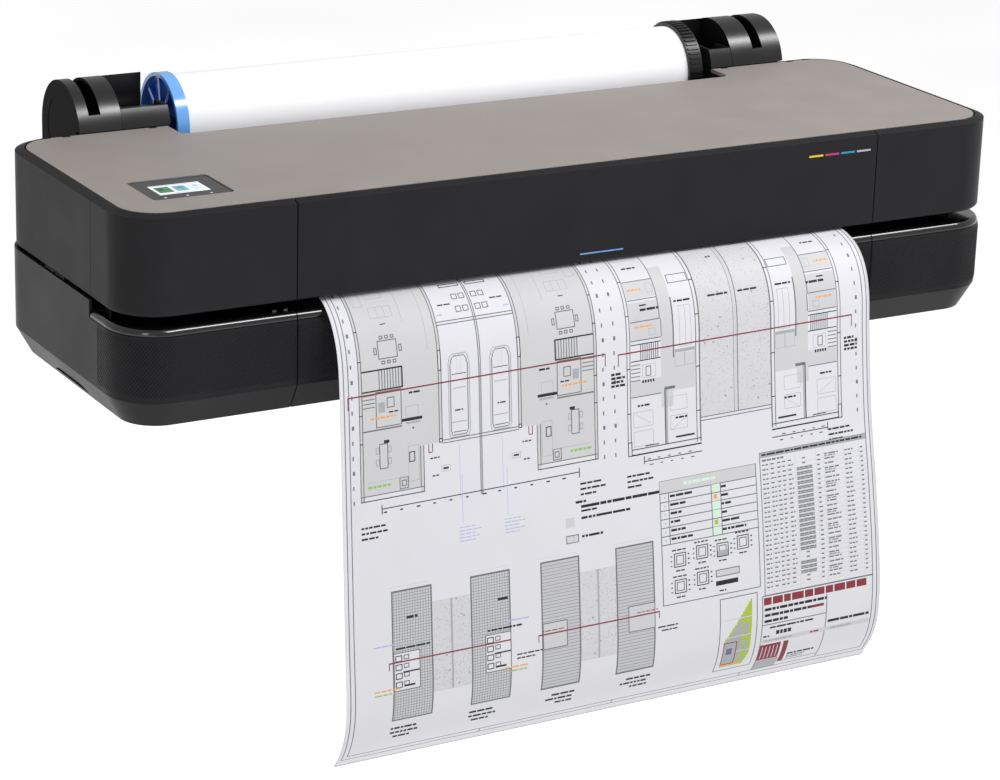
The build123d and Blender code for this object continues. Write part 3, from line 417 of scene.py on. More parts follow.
lowerLow, lowerHigh = (Vector(corner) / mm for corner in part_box("lower_front_panel"))
ribs = {
    "pitch": 3.6,          # between ribs, along the wall
    "lean": 0.80,          # how far a rib leans to the right as it rises
    "height": 0.7,         # how far a rib stands out
    "bottom": 29.5,
    "top": 92.2,
    "sideEnd": -150.0,     # where the ribs stop on the sides
    "halfWidth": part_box("lower_side_right")[1][0] / mm,
    "front": lowerLow.y,
    "corner": 52.0,
    "seams": (lowerLow.x - 0.6, lowerHigh.x + 0.6),     # middle of each joint between panels
    "seamGap": 0.7,
    "skin": 0.05,          # from the wall to the foot of the ribs
    "buried": 0.4,         # how far the back of the band goes into the wall
    "fade": 0.02,          # share of the height over which a rib runs out
    "merge": 0.02,         # points closer than this become one
}


def wallPoint(distance, out):
    # plan position at a distance along the wall, 0 at the middle of the front, out from its face
    r = ribs["corner"]
    straight = ribs["halfWidth"] - r
    side = 1 if distance >= 0 else -1
    d = abs(distance)
    quarter = r * math.pi / 2
    if d <= straight:
        return side * d, ribs["front"] - out
    if d <= straight + quarter:
        angle = (d - straight) / r
        return side * (straight + (r + out) * math.sin(angle)), ribs["front"] + r - (r + out) * math.cos(angle)
    return side * (ribs["halfWidth"] + out), ribs["front"] + r + (d - straight - quarter)


def ribbedBand(name, start, end):
    profile = ((0.0, 0.0), (0.18, 0.75), (0.34, 1.0), (0.52, 1.0), (0.68, 0.75), (0.86, 0.0))
    low, high = ribs["bottom"], ribs["top"]
    reach = (high - low) * ribs["lean"]
    first = int((start - reach) // ribs["pitch"]) - 1
    last = int(end // ribs["pitch"]) + 2
    columns = [(k + share) * ribs["pitch"] for k in range(first, last) for share, lift in profile]
    lifts = [lift for k in range(first, last) for share, lift in profile]
    levels = np.linspace(0, 1, 15)
    points, backs = [], []
    for t in levels:
        fade = min(1.0, min(t, 1 - t) / ribs["fade"])
        z = low + (high - low) * t
        for column, lift in zip(columns, lifts):
            along = min(max(column + reach * t, start), end)
            atEdge = along in (start, end)
            x, y = wallPoint(along, ribs["skin"] + (0.0 if atEdge else ribs["height"] * lift * fade))
            points.append((x * mm, y * mm, z * mm))
            x, y = wallPoint(along, -ribs["buried"])
            backs.append((x * mm, y * mm, z * mm))
    count = len(columns)
    faces = gridFaces(len(levels), count) + gridFaces(len(levels), count, len(points), flip=True)
    faces += rimFaces(len(levels), count, len(points))
    return addPiece(name, points + backs, faces, plastics["ribs"], "case")


def cleanUp(piece, distance):
    work = bmesh.new()
    work.from_mesh(piece.data)
    bmesh.ops.remove_doubles(work, verts=work.verts, dist=distance)
    bmesh.ops.dissolve_degenerate(work, edges=work.edges, dist=distance)
    loose = [v for v in work.verts if not v.link_faces]
    bmesh.ops.delete(work, geom=loose, context="VERTS")
    bmesh.ops.recalc_face_normals(work, faces=work.faces)
    work.to_mesh(piece.data)
    work.free()


sideRun = ribs["halfWidth"] - ribs["corner"] + ribs["corner"] * math.pi / 2
sideRun += ribs["sideEnd"] - ribs["front"] - ribs["corner"]
bandEdges = (-sideRun, ribs["seams"][0], ribs["seams"][1], sideRun)
for index, bandName in enumerate(("ribs_left", "ribs_middle", "ribs_right")):
    bandStart = bandEdges[index] + (ribs["seamGap"] if index else 0)
    bandEnd = bandEdges[index + 1] - (ribs["seamGap"] if index < 2 else 0)
    cleanUp(ribbedBand(bandName, bandStart, bandEnd), ribs["merge"] * mm)
print("ribbed bands made")


# printed sheet

sheetSizes = {
    "left": rollLow[0] / mm,
    "width": 610.0,
    "thickness": 0.3,
    "levelZ": 112.5,
    "slotY": -186.0,
    "bendY": 45.0,
    "rollAxis": (rollCentre.y / mm, rollCentre.z / mm),
    "rollClear": rollRadius / mm + 0.6,
    "drop": 523.0,         # printed length below the slot
    "bendReach": 22.0,     # either side of the bend, where the curve starts and ends
}
# side outlines of the hanging part as (y, z), left edge and right edge
leftEdge = [(-186, 112.5), (-194, 112.3), (-213, 107.6), (-227, 99), (-240, 84), (-250, 62), (-256, 28), (-263, -55),
            (-270, -146), (-277, -238), (-281.6, -292), (-279.5, -322), (-270, -349), (-255, -371)]
rightEdge = [(-186, 112.5), (-194, 112.4), (-213, 110.2), (-231, 106), (-248, 97), (-262, 80), (-271, 54), (-276, 14),
             (-288, -66), (-305, -142), (-319, -212), (-325.5, -270), (-320, -308), (-300, -343)]


def smoothLine(points, steps=30):
    # curve through the points, with its running length
    p = np.array(points, float)
    p = np.vstack([2 * p[0] - p[1], p, 2 * p[-1] - p[-2]])
    line = []
    for k in range(1, len(p) - 2):
        for t in np.linspace(0, 1, steps, endpoint=False):
            a, b, c, d = p[k - 1], p[k], p[k + 1], p[k + 2]
            square, cube = 2 * a - 5 * b + 4 * c - d, 3 * b - a - 3 * c + d
            line.append(0.5 * (2 * b + (c - a) * t + square * t ** 2 + cube * t ** 3))
    line = np.array(line + [p[-2]])
    run = np.concatenate([[0], np.cumsum(np.linalg.norm(np.diff(line, axis=0), axis=1))])
    return line, run


def feedLine():
    # from the roll's underside down to the bend and level to the slot; the length is negative behind the slot
    s = sheetSizes
    dy, dz = s["rollAxis"][0] - s["bendY"], s["rollAxis"][1] - s["levelZ"]
    reach = math.hypot(dy, dz)
    angle = math.atan2(dz, dy) - math.asin((s["rollClear"] + s["thickness"]) / reach)
    run = math.sqrt(reach ** 2 - s["rollClear"] ** 2)
    bend = np.array((s["bendY"], s["levelZ"]))
    slope = np.array((math.cos(angle), math.sin(angle)))
    before, after = bend + slope * s["bendReach"], bend - np.array((s["bendReach"], 0.0))
    line = [bend + slope * run]
    for t in np.linspace(0, 1, 9):
        line.append(before * (1 - t) ** 2 + bend * 2 * t * (1 - t) + after * t ** 2)
    line.append(np.array((s["slotY"], s["levelZ"])))
    line = np.array(line)
    length = np.concatenate([[0], np.cumsum(np.linalg.norm(np.diff(line, axis=0), axis=1))])
    return line, length - length[-1]


leftLine, leftRun = smoothLine(leftEdge)
rightLine, rightRun = smoothLine(rightEdge)
backLine, backRun = feedLine()


def sheetSection(v):
    # (y, z) of the left and the right edge at a distance v along the sheet from the slot
    if v <= 0:
        point = np.array([np.interp(v, backRun, backLine[:, k]) for k in (0, 1)])
        return point, point
    share = v / sheetSizes["drop"]
    left = np.array([np.interp(share * leftRun[-1], leftRun, leftLine[:, k]) for k in (0, 1)])
    right = np.array([np.interp(share * rightRun[-1], rightRun, rightLine[:, k]) for k in (0, 1)])
    return left, right


# drawing on the sheet: rectangles (u0, v0, u1, v1, ink), millimetres from the left edge and from the slot

paper, black, grey, tint, mid, court, grid, lines, red, orange, green, blue, field, pale = range(14)
finestLine = 1.0       # a real 0.5 mm line is too fine to show
marks = []
rng = random.Random(11)


def mark(u0, v0, u1, v1, ink=grey):
    u0, u1 = sorted((u0, u1))
    v0, v1 = sorted((v0, v1))
    u0, v0, u1, v1 = (round(value * 2) / 2 for value in (u0, v0, u1, v1))
    if ink in (grey, black, red):
        u1, v1 = max(u1, u0 + finestLine), max(v1, v0 + finestLine)
    marks.append((u0, v0, u1, v1, ink))


def frameBox(u0, v0, u1, v1, ink, line=0.5, fill=None):
    if fill is not None:
        mark(u0, v0, u1, v1, fill)
    mark(u0, v0, u1, v0 + line, ink)
    mark(u0, v1 - line, u1, v1, ink)
    mark(u0, v0, u0 + line, v1, ink)
    mark(u1 - line, v0, u1, v1, ink)


def greek(u0, u1, v, height, longest=8, ink=black):
    # a line of plain bars that stands for words
    u = u0
    while u < u1 - 1:
        long = min(rng.randint(min(3, longest), longest), u1 - u)
        mark(u, v, u + long, v + height, ink)
        u += long + 1


def drawEach(draw, *rows):
    for row in rows:
        draw(*row)


def caption(u, v):
    for k, long in enumerate((26, 30, 18)):
        greek(u, u + long, v + k * 5.5, 2.0, 9)


def mirrored(draw, centre):
    # draws once as given and once mirrored about the centre line
    global marks
    kept, marks = marks, []
    draw()
    once = marks
    twice = [(2 * centre - u1, v0, 2 * centre - u0, v1, ink) for u0, v0, u1, v1, ink in once]
    marks = kept + once + twice


def groundFloor():
    drawEach(mark, (20, 0, 109, 190, tint), (20, 190, 89, 237, tint), (109, 28, 152, 72, paper))
    for u0, v0, u1, v1 in ((20, 0, 21, 237), (23, 0, 24, 237), (106, 0, 107, 190), (109, 0, 109.5, 190),
                           (85, 190, 86, 232), (88.5, 190, 89.5, 237)):
        mark(u0, v0, u1, v1)
    drawEach(mark, (20, 231, 89, 232), (20, 236, 89, 237, black), (24.5, 232, 85, 236, paper))
    for v in (68, 97, 150, 178):
        mark(20, v, 24, v + 1, black)
    for v0, v1 in ((98, 118), (186, 190)):
        frameBox(106, v0, 109.5, v1, black, 0.5, paper)
    # party wall, garage and entrance
    drawEach(mark, (150.5, 0, 151, 250), (151, 118, 152, 250, mid), (109.5, 71, 152, 72), (109.5, 74, 152, 75),
             (109.5, 188, 152, 188.5), (109.5, 191, 152, 191.5))
    frameBox(126, 30, 148, 34, black)
    for u, v in ((134, 44), (142, 44), (134, 58), (142, 58)):
        frameBox(u, v, u + 6, v + 6, grey)
    greek(116, 132, 54, 1.5)
    greek(112, 120, 64, 1.5, 8, blue)
    # car
    for inset, ink in ((0, mid), (2, grey)):
        u0, u1, v0, v1 = 117 + inset, 141 - inset, 104 + inset, 188 - inset
        drawEach(mark, (u0, v0 + 8, u0 + 1, v1 - 4, ink), (u1 - 1, v0 + 8, u1, v1 - 4, ink),
                 (u0 + 4, v0, u1 - 4, v0 + 1, ink), (u0 + 2, v1 - 1, u1 - 2, v1, ink))
        for u, lean in ((u0, 1), (u1 - 1, -1)):
            mark(u + lean, v0 + 4, u + lean + 1, v0 + 8, ink)
            mark(u + 2 * lean, v0 + 2, u + 2 * lean + 1, v0 + 4, ink)
            mark(u + 3 * lean, v0 + 1, u + 3 * lean + 1, v0 + 2, ink)
            mark(u + lean, v1 - 4, u + lean + 1, v1 - 1, ink)
    drawEach(mark, (121, 124, 137, 125), (122, 138, 136, 139, mid), (121, 172, 137, 173, mid),
             (122, 182, 136, 182.5), (127, 106, 127.5, 124, tint), (131, 106, 131.5, 124, tint))
    greek(124, 133, 160, 1.5, 9)
    # living room: low tables, sofa, dining table with chairs
    frameBox(44, 26, 62, 36, mid)
    frameBox(42, 46, 66, 58, mid)
    mark(50, 46, 50.5, 58, mid)
    mark(58, 46, 58.5, 58, mid)
    frameBox(28, 20, 38, 44, mid)
    mark(74, 8, 74.5, 66, mid)
    mark(96, 0, 96.5, 96, mid)
    frameBox(43, 80, 64, 98, grey, 1)
    for u in (46, 52, 58):
        frameBox(u, 75.5, u + 4, 79, grey, 1)
        frameBox(u, 99.5, u + 4, 103, grey, 1)
    for u in (38.5, 65.5):
        frameBox(u, 86, u + 3.5, 93, grey, 1)
    greek(50, 56, 64, 1.0)
    # stairs
    drawEach(mark, (24, 107, 68, 108.5, black), (24, 127, 68, 128.5, black), (67, 107, 68, 128, black))
    for k in range(9):
        mark(42 + k * 3, 108.5, 42.5 + k * 3, 127)
    for k in range(4):
        mark(24, 131 + k * 4, 37, 131.5 + k * 4)
    # wash room and kitchen
    drawEach(frameBox, (38, 129, 66, 165, grey, 1), (41, 140, 48, 150, mid, 0.5, mid), (50, 136, 58, 146, grey))
    greek(32, 60, 154, 2.0, 6, orange)
    greek(52, 62, 150, 1.5)
    drawEach(mark, (24, 166, 66, 167.5), (66, 160, 88, 163, black), (70, 164, 86, 166, mid))
    frameBox(70, 148, 84, 160, mid)
    greek(74, 86, 134, 2.0, 12)
    greek(77, 79, 170, 1.5)
    for u, v in ((37, 184), (50, 184), (37, 196), (50, 196)):
        frameBox(u, v, u + 4, v + 7, mid, 1)
    frameBox(41, 181, 50, 206, grey)
    mark(46, 178, 52, 181, black)
    drawEach(frameBox, (72, 188, 84, 224, mid), (73, 194, 79, 204, black), (62, 218, 72, 230, grey, 1),
             (64.5, 221, 69.5, 227, grey))
    greek(28, 52, 222, 2.5, 5, green)
    mark(28, 218, 72, 218.5, mid)
    # entrance yard
    greek(96, 106, 204, 1.5, 4)
    greek(98, 106, 222, 1.5, 4)
    frameBox(108, 214, 118, 220, mid)
    drawEach(mark, (110, 216, 116, 218, black), (94, 190, 94.5, 198, red), (98, 190, 98.5, 198, red),
             (94, 198, 98.5, 198.5, red), (128, 196, 128.5, 250, blue))


def upperFloor():
    mark(318, 0, 404, 242, paper)
    for u0, u1 in ((318, 319), (321.5, 322.5), (398.5, 399.5), (402.5, 404)):
        mark(u0, 0, u1, 238)
    mark(318, 234, 404, 235, black)
    mark(318, 239.5, 404, 241, black)
    frameBox(318, 226, 323, 241, black, 1, paper)
    for v in (60, 96, 150, 196):
        mark(318, v, 322.5, v + 1, black)
        mark(398.5, v + 9, 404, v + 10, black)
    drawEach(mark, (323, 62, 357, 80, tint), (323, 84, 357, 122, tint), (358, 48, 372, 196, tint),
             (372, 142, 398, 180, tint), (323, 164, 358, 180, tint))
    for v in (61, 81, 103, 122):
        mark(323, v, 358, v + 1)
    mark(357, 30, 358, 104)
    mark(358, 104, 359, 122)
    greek(326, 342, 70, 2.0, 6, orange)
    greek(328, 348, 108, 2.0, 6, orange)
    greek(336, 358, 91, 2.5, 12)
    greek(336, 344, 87, 1.5)
    frameBox(348, 66, 355, 76, mid)
    frameBox(344, 112, 352, 119, mid)
    mark(330, 100, 330.5, 112, blue)
    # wardrobe and beds
    mark(372, 84, 373.5, 146)
    frameBox(374, 60, 398, 70, grey, 1)
    mark(374, 138, 398, 141, mid)
    frameBox(374, 141, 386, 156, mid)
    frameBox(386, 141, 398, 156, mid)
    greek(376, 396, 88, 2.0, 9)
    frameBox(380, 94, 394, 136, mid)
    mark(387, 94, 387.5, 136, mid)
    greek(330, 346, 44, 2.0, 9)
    frameBox(326, 6, 352, 34, mid)
    # stairs
    mark(323, 126, 358, 127, black)
    mark(323, 143, 358, 144, black)
    for k in range(9):
        mark(334 + k * 2.5, 127, 334.5 + k * 2.5, 143)
    for k in range(5):
        mark(323, 147 + k * 4, 334, 147.5 + k * 4)
    frameBox(336, 148, 352, 162, mid)
    frameBox(340, 150, 346, 160, grey)
    greek(336, 352, 164, 3.0, 2)
    mark(323, 180, 358, 181)
    # bedrooms below
    drawEach(mark, (362, 176, 365, 234, mid), (361.5, 176, 362, 234, black), (362, 175, 374, 178))
    for v in (196, 216):
        frameBox(325, v, 348, v + 16, mid)
        frameBox(368, v - 10, 388, v + 5, mid)
    for k in range(12):
        mark(327 + k * 1.5, 198 + k, 328.5 + k * 1.5, 198.5 + k, mid)
        mark(370 + k * 1.5, 220 - k, 371.5 + k * 1.5, 220.5 - k, mid)
    greek(330, 344, 189, 2.0)
    greek(374, 390, 208, 2.0)
    mark(338, 232, 354, 233, black)
    mark(374, 228, 396, 230, black)
    # boundary and dimension lines
    mark(336, 248, 404, 248.5, black)
    mark(336, 243, 336.5, 251, black)
    for u in range(340, 400, 12):
        greek(u, u + 4, 246, 1.0, 4)
        greek(u + 3, u + 7, 252, 1.0, 4)


def drawAll():
    mirrored(groundFloor, 152)
    drawEach(mark, (404, 26, 488, 214, court), (404, 26, 488, 26.5), (404, 29, 488, 29.5))
    mirrored(upperFloor, 446)
    for u in (443.5, 448):
        mark(u, 29, u + 0.5, 213)
    mark(444, 29, 448, 213, tint)
    for v in (213, 216.5):
        mark(404, v, 488, v + 1)
    drawEach(greek, (416, 440, 88, 2.0, 10), (452, 476, 88, 2.0, 10), (430, 436, 44, 2.0))
    # sections through the houses
    for u0, u1, v in ((8, 294, 130), (308, 588, 133)):
        drawEach(mark, (u0, v, u1, v + 1.5, red), (u0, v, u0 + 1, v + 13, red), (u1 - 1, v, u1, v + 13, red))
    # dimension line under the left pair
    drawEach(mark, (42, 246, 262, 247, black), (42, 242, 43, 252, black), (261, 242, 262, 252, black))
    for u in range(44, 260, 18):
        greek(u, u + 5, 249.5, 1.5, 5)
    for k in range(15):
        for u in (12, 290, 303, 592):
            mark(u, 24 + k * 15, u + (1.5 if k % 3 else 2.5), 28 + k * 15)
    # lavender notes
    for u in (126, 176):
        mark(u + 4, 226, u + 4.5, 276, blue)
        for k in range(5):
            greek(u, u + (24 if k % 2 else 18), 280 + k * 3.5, 1.0, 7, blue)
    # captions
    for u, v in ((20, 262), (262, 258), (316, 260), (556, 250)):
        caption(u, v)
    for u0, v in ((300, 152), (578, 156)):
        for k in range(4):
            greek(u0, u0 + (16 if k else 12), v + k * 4, 2.5, 6)
    # heading
    for u0, u1, v, height, longest in ((256, 268, 276, 2.5, 12), (262, 352, 281, 3.0, 26), (262, 280, 286, 2.0, 12),
                                       (262, 318, 293, 2.5, 20), (262, 286, 312, 2.5, 14)):
        greek(u0, u1, v, height, longest)
    mark(244, 292, 254, 302, tint)
    frameBox(244, 310, 258, 318, grey, 0.5, court)
    # roofs
    for u0, style, steps in ((50, grid, (0, 0, 4)), (136, grid, (0, 0, 4)),
                             (214, lines, (14, 8, 20)), (299, lines, (14, 8, 20))):
        frameBox(u0, 332, u0 + 44, 468, grey, 1.5, style)
        mark(u0 - 3, 328, u0 + 42, 328.5, tint)
        for step, long, v in zip(steps, (28, 30, 20), (476, 481.5, 487)):
            greek(u0 + step, u0 + long + step, v, 2.5, 9)
    for u0, u1 in ((94, 136), (258, 299)):
        frameBox(u0, 350, u1, 444, tint, 0.5, court)
        mark((u0 + u1) / 2 - 1, 350, (u0 + u1) / 2 + 1, 444, mid)
    for u0 in (50, 150):
        mark(u0 + 1, 396, u0 + 30, 436, paper)
        frameBox(u0 + 1, 396, u0 + 30, 436, grey, 1)
        for k in range(4):
            frameBox(u0 + 3, 399 + k * 9, u0 + 10, 405 + k * 9, black)
            frameBox(u0 + 12, 399 + k * 9, u0 + 18, 404 + k * 9, grey, 1)
        mark(u0 + 11, 416, u0 + 29, 417.5, black)
        mark(u0 + 12, 430, u0 + 24, 432, black)
        greek(u0 + 16, u0 + 28, 360, 2.5, 12)
        greek(u0 + 4, u0 + 42, 391, 2.0, 10)
    frameBox(215, 396, 243, 424, grey, 1, tint)
    frameBox(312, 396, 343, 424, grey, 1, tint)
    for u0, u1, v in ((46, 180, 405), (210, 348, 407)):
        drawEach(mark, (u0, v, u1, v + 1.5, red), (u0, v, u0 + 1, v + 8, red), (u1 - 1, v, u1, v + 8, red))
    for u0, u1 in ((214, 240), (322, 346)):
        greek(u0, u1, 404, 1.0, 7, red)
    for u0, u1, v, ink in ((30, 62, 386, blue), (176, 200, 385, blue), (30, 58, 432, orange),
                           (30, 52, 436, green), (172, 198, 434, orange), (178, 198, 438, green),
                           (186, 214, 422, black), (186, 206, 426, black), (346, 370, 424, black),
                           (350, 370, 428, black)):
        greek(u0, u1, v, 1.5, 9, ink)
    finishesTable()
    bigTable()
    sitePlan()
    titleBlock()
    # border lines
    for inset, long in ((4, 512), (9, 506)):
        mark(inset, 0, inset + 0.5, long)
        mark(610 - inset - 0.5, 0, 610 - inset, long)
        mark(inset, long - 0.5, 610 - inset, long)
    for u in (155, 305, 455):
        mark(u, 506, u + 0.5, 512)


def finishesTable():
    frameBox(352, 272, 466, 403, grey)
    mark(352.5, 272.5, 465.5, 285, tint)
    greek(380, 418, 277, 3.0, 12, pale)
    for k in range(7):
        v = 285 + k * 9
        mark(352, v, 466, v + 0.5)
        if k < 6:
            greek(364, 364 + (26, 18, 14, 12, 18, 26)[k], v + 3, 2.5, 11)
            greek(424, 424 + (6, 8, 12, 6, 22, 28)[k], v + 3, 2.5, 11)
            mark(357, v + 4, 358.5, v + 5.5, mid)
            if k in (1, 4):
                mark(415, v + 2, 419, v + 7, orange if k == 1 else field)
            else:
                mark(412.5, v + 0.5, 422.5, v + 9, pale)
    for u in (362, 412, 423):
        mark(u, 285, u + 0.5, 340)
    for u, v in ((366, 350), (392, 346), (416, 348), (440, 344), (366, 378), (392, 374)):
        frameBox(u, v, u + 14, v + 15, black, 1)
        frameBox(u + 2.5, v + 2.5, u + 11.5, v + 12.5, grey, 1)
        greek(u + 2, u + 12, v + 18, 1.5, 5)
        greek(u - 2, u + 14, v - 4, 1.5, 5)
        for k in range(3):
            mark(u + 16, v + 2 + 5 * k, u + 18, v + 3.5 + 5 * k, black)
            mark(u - 4, v + 2 + 5 * k, u - 2, v + 3.5 + 5 * k)
    mark(417, 356, 429, 362, mid)
    frameBox(414, 376, 442, 384, grey, 1, tint)
    mark(414, 388, 440, 393, black)
    greek(418, 426, 398, 1.5, 5)


def bigTable():
    frameBox(471, 262, 601, 414, grey)
    mark(471.5, 262.5, 600.5, 268, mid)
    greek(474, 596, 264, 2.0, 10)
    greek(474, 500, 270, 2.0, 6, grey)
    columns = ((474, 481), (484, 490), (492, 496), (498, 502), (505, 511), (515, 534), (540, 545), (549, 566),
               (574, 584), (593, 596))
    for u0, u1 in columns[1:]:
        mark(u0 - 1.5, 268, u0 - 1, 414, tint)
    row = 0
    v = 275.0
    while v < 408:
        for index, (u0, u1) in enumerate(columns):
            dense = index == 5 and (1 < row < 20 or 21 < row < 25)
            if dense:
                mark(u0, v - 0.5, u1, v + 3.0, mid)
                greek(u0, u1, v, 1.0, 5, grey)
                greek(u0, u1, v + 2, 1.0, 5, grey)
            elif index == 7:
                greek(u0, u1 - rng.choice((0, 2, 5)), v, 1.5, 9, grey)
                if row % 3 == 0:
                    greek(u0, u1 - 4, v + 2.5, 1.0, 9, grey)
            elif index == 5:
                mark(u0 + 7, v, u0 + 11, v + 1.5)
            else:
                greek(u0, u1, v, 1.5, 4, grey)
        mark(471.5, v + 4, 600.5, v + 4.5, tint)
        row += 1
        v += 5.0


def sitePlan():
    frameBox(418, 408, 462, 494, grey, 0.5, paper)
    for k in range(30):
        v = 414 + k * 2.5
        left = max(424.0, 454 - k * 1.8)
        right = 456 - max(0, k - 24) * 1.0
        mark(left, v, right, v + 2.5, field)
        inner = left + 3
        if k > 3 and inner < right - 12:
            mark(inner, v, right - 11, v + 2.5, mid)
        if 6 < k < 28 and k % 8 > 1:
            mark(right - 9, v, right - 4, v + 2.5, mid)
    for v in (432, 452, 470):
        mark(424, v, 456, v + 1, tint)
    frameBox(424, 458, 440, 486, red, 1, mid)
    frameBox(427, 464, 436, 474, blue, 1, grey)
    mark(424, 486, 448, 488, orange)


def titleBlock():
    frameBox(468, 414, 601, 506, grey)
    u = 470
    for long in (9, 12, 8, 14, 10, 12, 9, 13, 11, 12):
        mark(u, 416.5, u + long, 424.5, red)
        u += long + 1.5
    for k, long in enumerate((74, 70, 28)):
        greek(471, 471 + long, 428 + k * 6.5, 3.0, 9)
    greek(526, 544, 434.5, 3.0, 9, red)
    mark(545, 426, 545.5, 506)
    mark(468.5, 446, 545, 446.5)
    drawEach(greek, (478, 530, 449.5, 2.0, 16), (486, 504, 455, 4.5, 7), (471, 478, 459, 2.0, 7))
    mark(468.5, 463, 600.5, 468, tint)
    greek(472, 506, 464.5, 2.0, 8, mid)
    greek(528, 540, 464.5, 2.0, 8, red)
    greek(548, 598, 455, 3.0, 17)
    greek(552, 578, 464.5, 2.0, 9, mid)
    mark(469, 470, 494, 491, red)
    for k in range(5):
        mark(472 + k * 4.5, 473, 473 + k * 4.5, 489, tint)
    mark(497, 470, 503, 500, red)
    mark(469, 491.5, 496, 505.5, mid)
    drawEach(greek, (506, 538, 488, 2.5, 11), (506, 530, 492, 1.5, 11, grey), (506, 526, 495, 1.5, 11, grey))
    mark(503.5, 499, 545, 499.5)


drawAll()
inkColours = (
    # bare paper: painted shade, set greyer than the white roll's paper because the hanging sheet faces away from the
    # light
    ("coated paper", "#cdcdd2"),
    ("black", "#1d1d20"),
    ("line grey", "#66676c"),
    ("light tint", "#bdbdbf"),
    ("mid grey", "#9c9da1"),
    ("stipple", "#c2c1c4", "stipple", "#6f7074"),
    ("grid hatch", "#b9babd", "grid", "#77787c"),
    ("line hatch", "#b4b4b8", "lines", "#77787c"),
    ("dark red", "#7d2c38"),
    ("orange", "#d99a4e"),
    ("green", "#86b25c"),
    ("lavender", "#a5a6cf"),
    ("field green", "#9db33a"),
    ("pale green", "#c3dac9"),
)
sheetInks = [inkOnPaper(*inkColours[0])]
sheetInks += [inkOnPaper("pigment ink, " + name, *rest) for name, *rest in inkColours[1:]]


def printedSheet():
    s = sheetSizes
    uLines = {0.0, s["width"]} | {float(u) for u in range(10, 610, 20)}
    vLines = {float(v) for v in range(0, 60, 3)} | {float(v) for v in range(60, 520, 9)} | {s["drop"]}
    vLines |= {float(v) for v in backRun}
    for u0, v0, u1, v1, ink in marks:
        uLines |= {u0, u1}
        vLines |= {v0, v1}
    uLines, vLines = sorted(uLines), sorted(vLines)
    uPlace = {u: k for k, u in enumerate(uLines)}
    vPlace = {v: k for k, v in enumerate(vLines)}
    cells = np.zeros((len(vLines) - 1, len(uLines) - 1), int)
    for u0, v0, u1, v1, ink in marks:
        cells[vPlace[v0]:vPlace[v1], uPlace[u0]:uPlace[u1]] = ink
    shares = np.array(uLines) / s["width"]
    sections = [sheetSection(v) for v in vLines]
    left = np.array([a for a, b in sections])
    right = np.array([b for a, b in sections])
    middle = (left + right) / 2
    slope = np.gradient(middle, np.array(vLines), axis=0)
    slope /= np.linalg.norm(slope, axis=1)[:, None]
    normal = np.stack([slope[:, 1], -slope[:, 0]], axis=1)
    points = []
    for lift in (s["thickness"], 0.0):
        for j in range(len(vLines)):
            row = left[j] * (1 - shares[:, None]) + right[j] * shares[:, None] + normal[j] * lift
            across = (s["left"] + np.array(uLines)) * mm
            points += list(zip(across, row[:, 0] * mm, row[:, 1] * mm))
    rows, columns = len(vLines), len(uLines)
    faces = gridFaces(rows, columns, 0, flip=True) + gridFaces(rows, columns, rows * columns)
    faces += rimFaces(rows, columns, rows * columns)
    sheetPiece = addPiece("printed_page", points, faces, sheetInks, "case", smooth=True)
    inkOf = np.zeros(len(faces), int)
    inkOf[:cells.size] = cells.ravel()
    sheetPiece.data.polygons.foreach_set("material_index", inkOf)
    layer = sheetPiece.data.uv_layers.new(name="sheetMillimetres")
    corner = np.zeros(len(sheetPiece.data.loops), int)
    sheetPiece.data.loops.foreach_get("vertex_index", corner)
    corner = corner % (rows * columns)
    flat = np.stack([np.array(uLines)[corner % columns] * mm, np.array(vLines)[corner // columns] * mm], axis=1)
    layer.data.foreach_set("uv", flat.astype(np.float32).ravel())
    sheetPiece.data.update()
    print("printed sheet:", rows, "by", columns, "lines,", len(marks), "marks")
    return sheetPiece


page = printedSheet()
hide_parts("printed_sheet")


# small pieces on the lid and in the slot

def plate(name, outline2d, low, high, material, body, bevel=0.0):
    # closed plate over an outline in the XY plane, its upper edge eased by bevel
    count = len(outline2d)
    cx = sum(p[0] for p in outline2d) / count
    cy = sum(p[1] for p in outline2d) / count
    rings = [(0.0, low), (0.0, high - bevel), (bevel, high)] if bevel else [(0.0, low), (0.0, high)]
    points = []
    for inset, z in rings:
        for x, y in outline2d:
            away = math.hypot(x - cx, y - cy) or 1.0
            points.append((x - (x - cx) / away * inset, y - (y - cy) / away * inset, z))
    faces = [tuple(range(count))[::-1], tuple(range((len(rings) - 1) * count, len(rings) * count))]
    for k in range(len(rings) - 1):
        for i in range(count):
            a, b = k * count + i, k * count + (i + 1) % count
            faces.append((a, b, b + count, a + count))
    return addPiece(name, points, faces, material, body)


def roundOutline(cx, cy, radius, count=24):
    angles = [2 * math.pi * k / count for k in range(count)]
    return [(cx + radius * math.cos(angle), cy + radius * math.sin(angle)) for angle in angles]


def boxOutline(x0, x1, y0, y1, radius, count=5):
    outlinePoints = []
    corners = ((x1 - radius, y1 - radius, 0), (x0 + radius, y1 - radius, 90),
               (x0 + radius, y0 + radius, 180), (x1 - radius, y0 + radius, 270))
    for cx, cy, start in corners:
        for k in range(count + 1):
            angle = math.radians(start + 90 * k / count)
            outlinePoints.append((cx + radius * math.cos(angle), cy + radius * math.sin(angle)))
    return outlinePoints


keys = {"y": -158.5, "centres": (-440.0, -417.0, -392.0), "radius": 1.5, "proud": 0.08}
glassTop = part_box("screen_glass")[1].z
for index, keyX in enumerate(keys["centres"]):
    plate(f"touch_key_{index + 1}", roundOutline(keyX * mm, keys["y"] * mm, keys["radius"] * mm), glassTop - 0.2 * mm,
          glassTop + keys["proud"] * mm, plastics["keys"], "lid", 0.02 * mm)

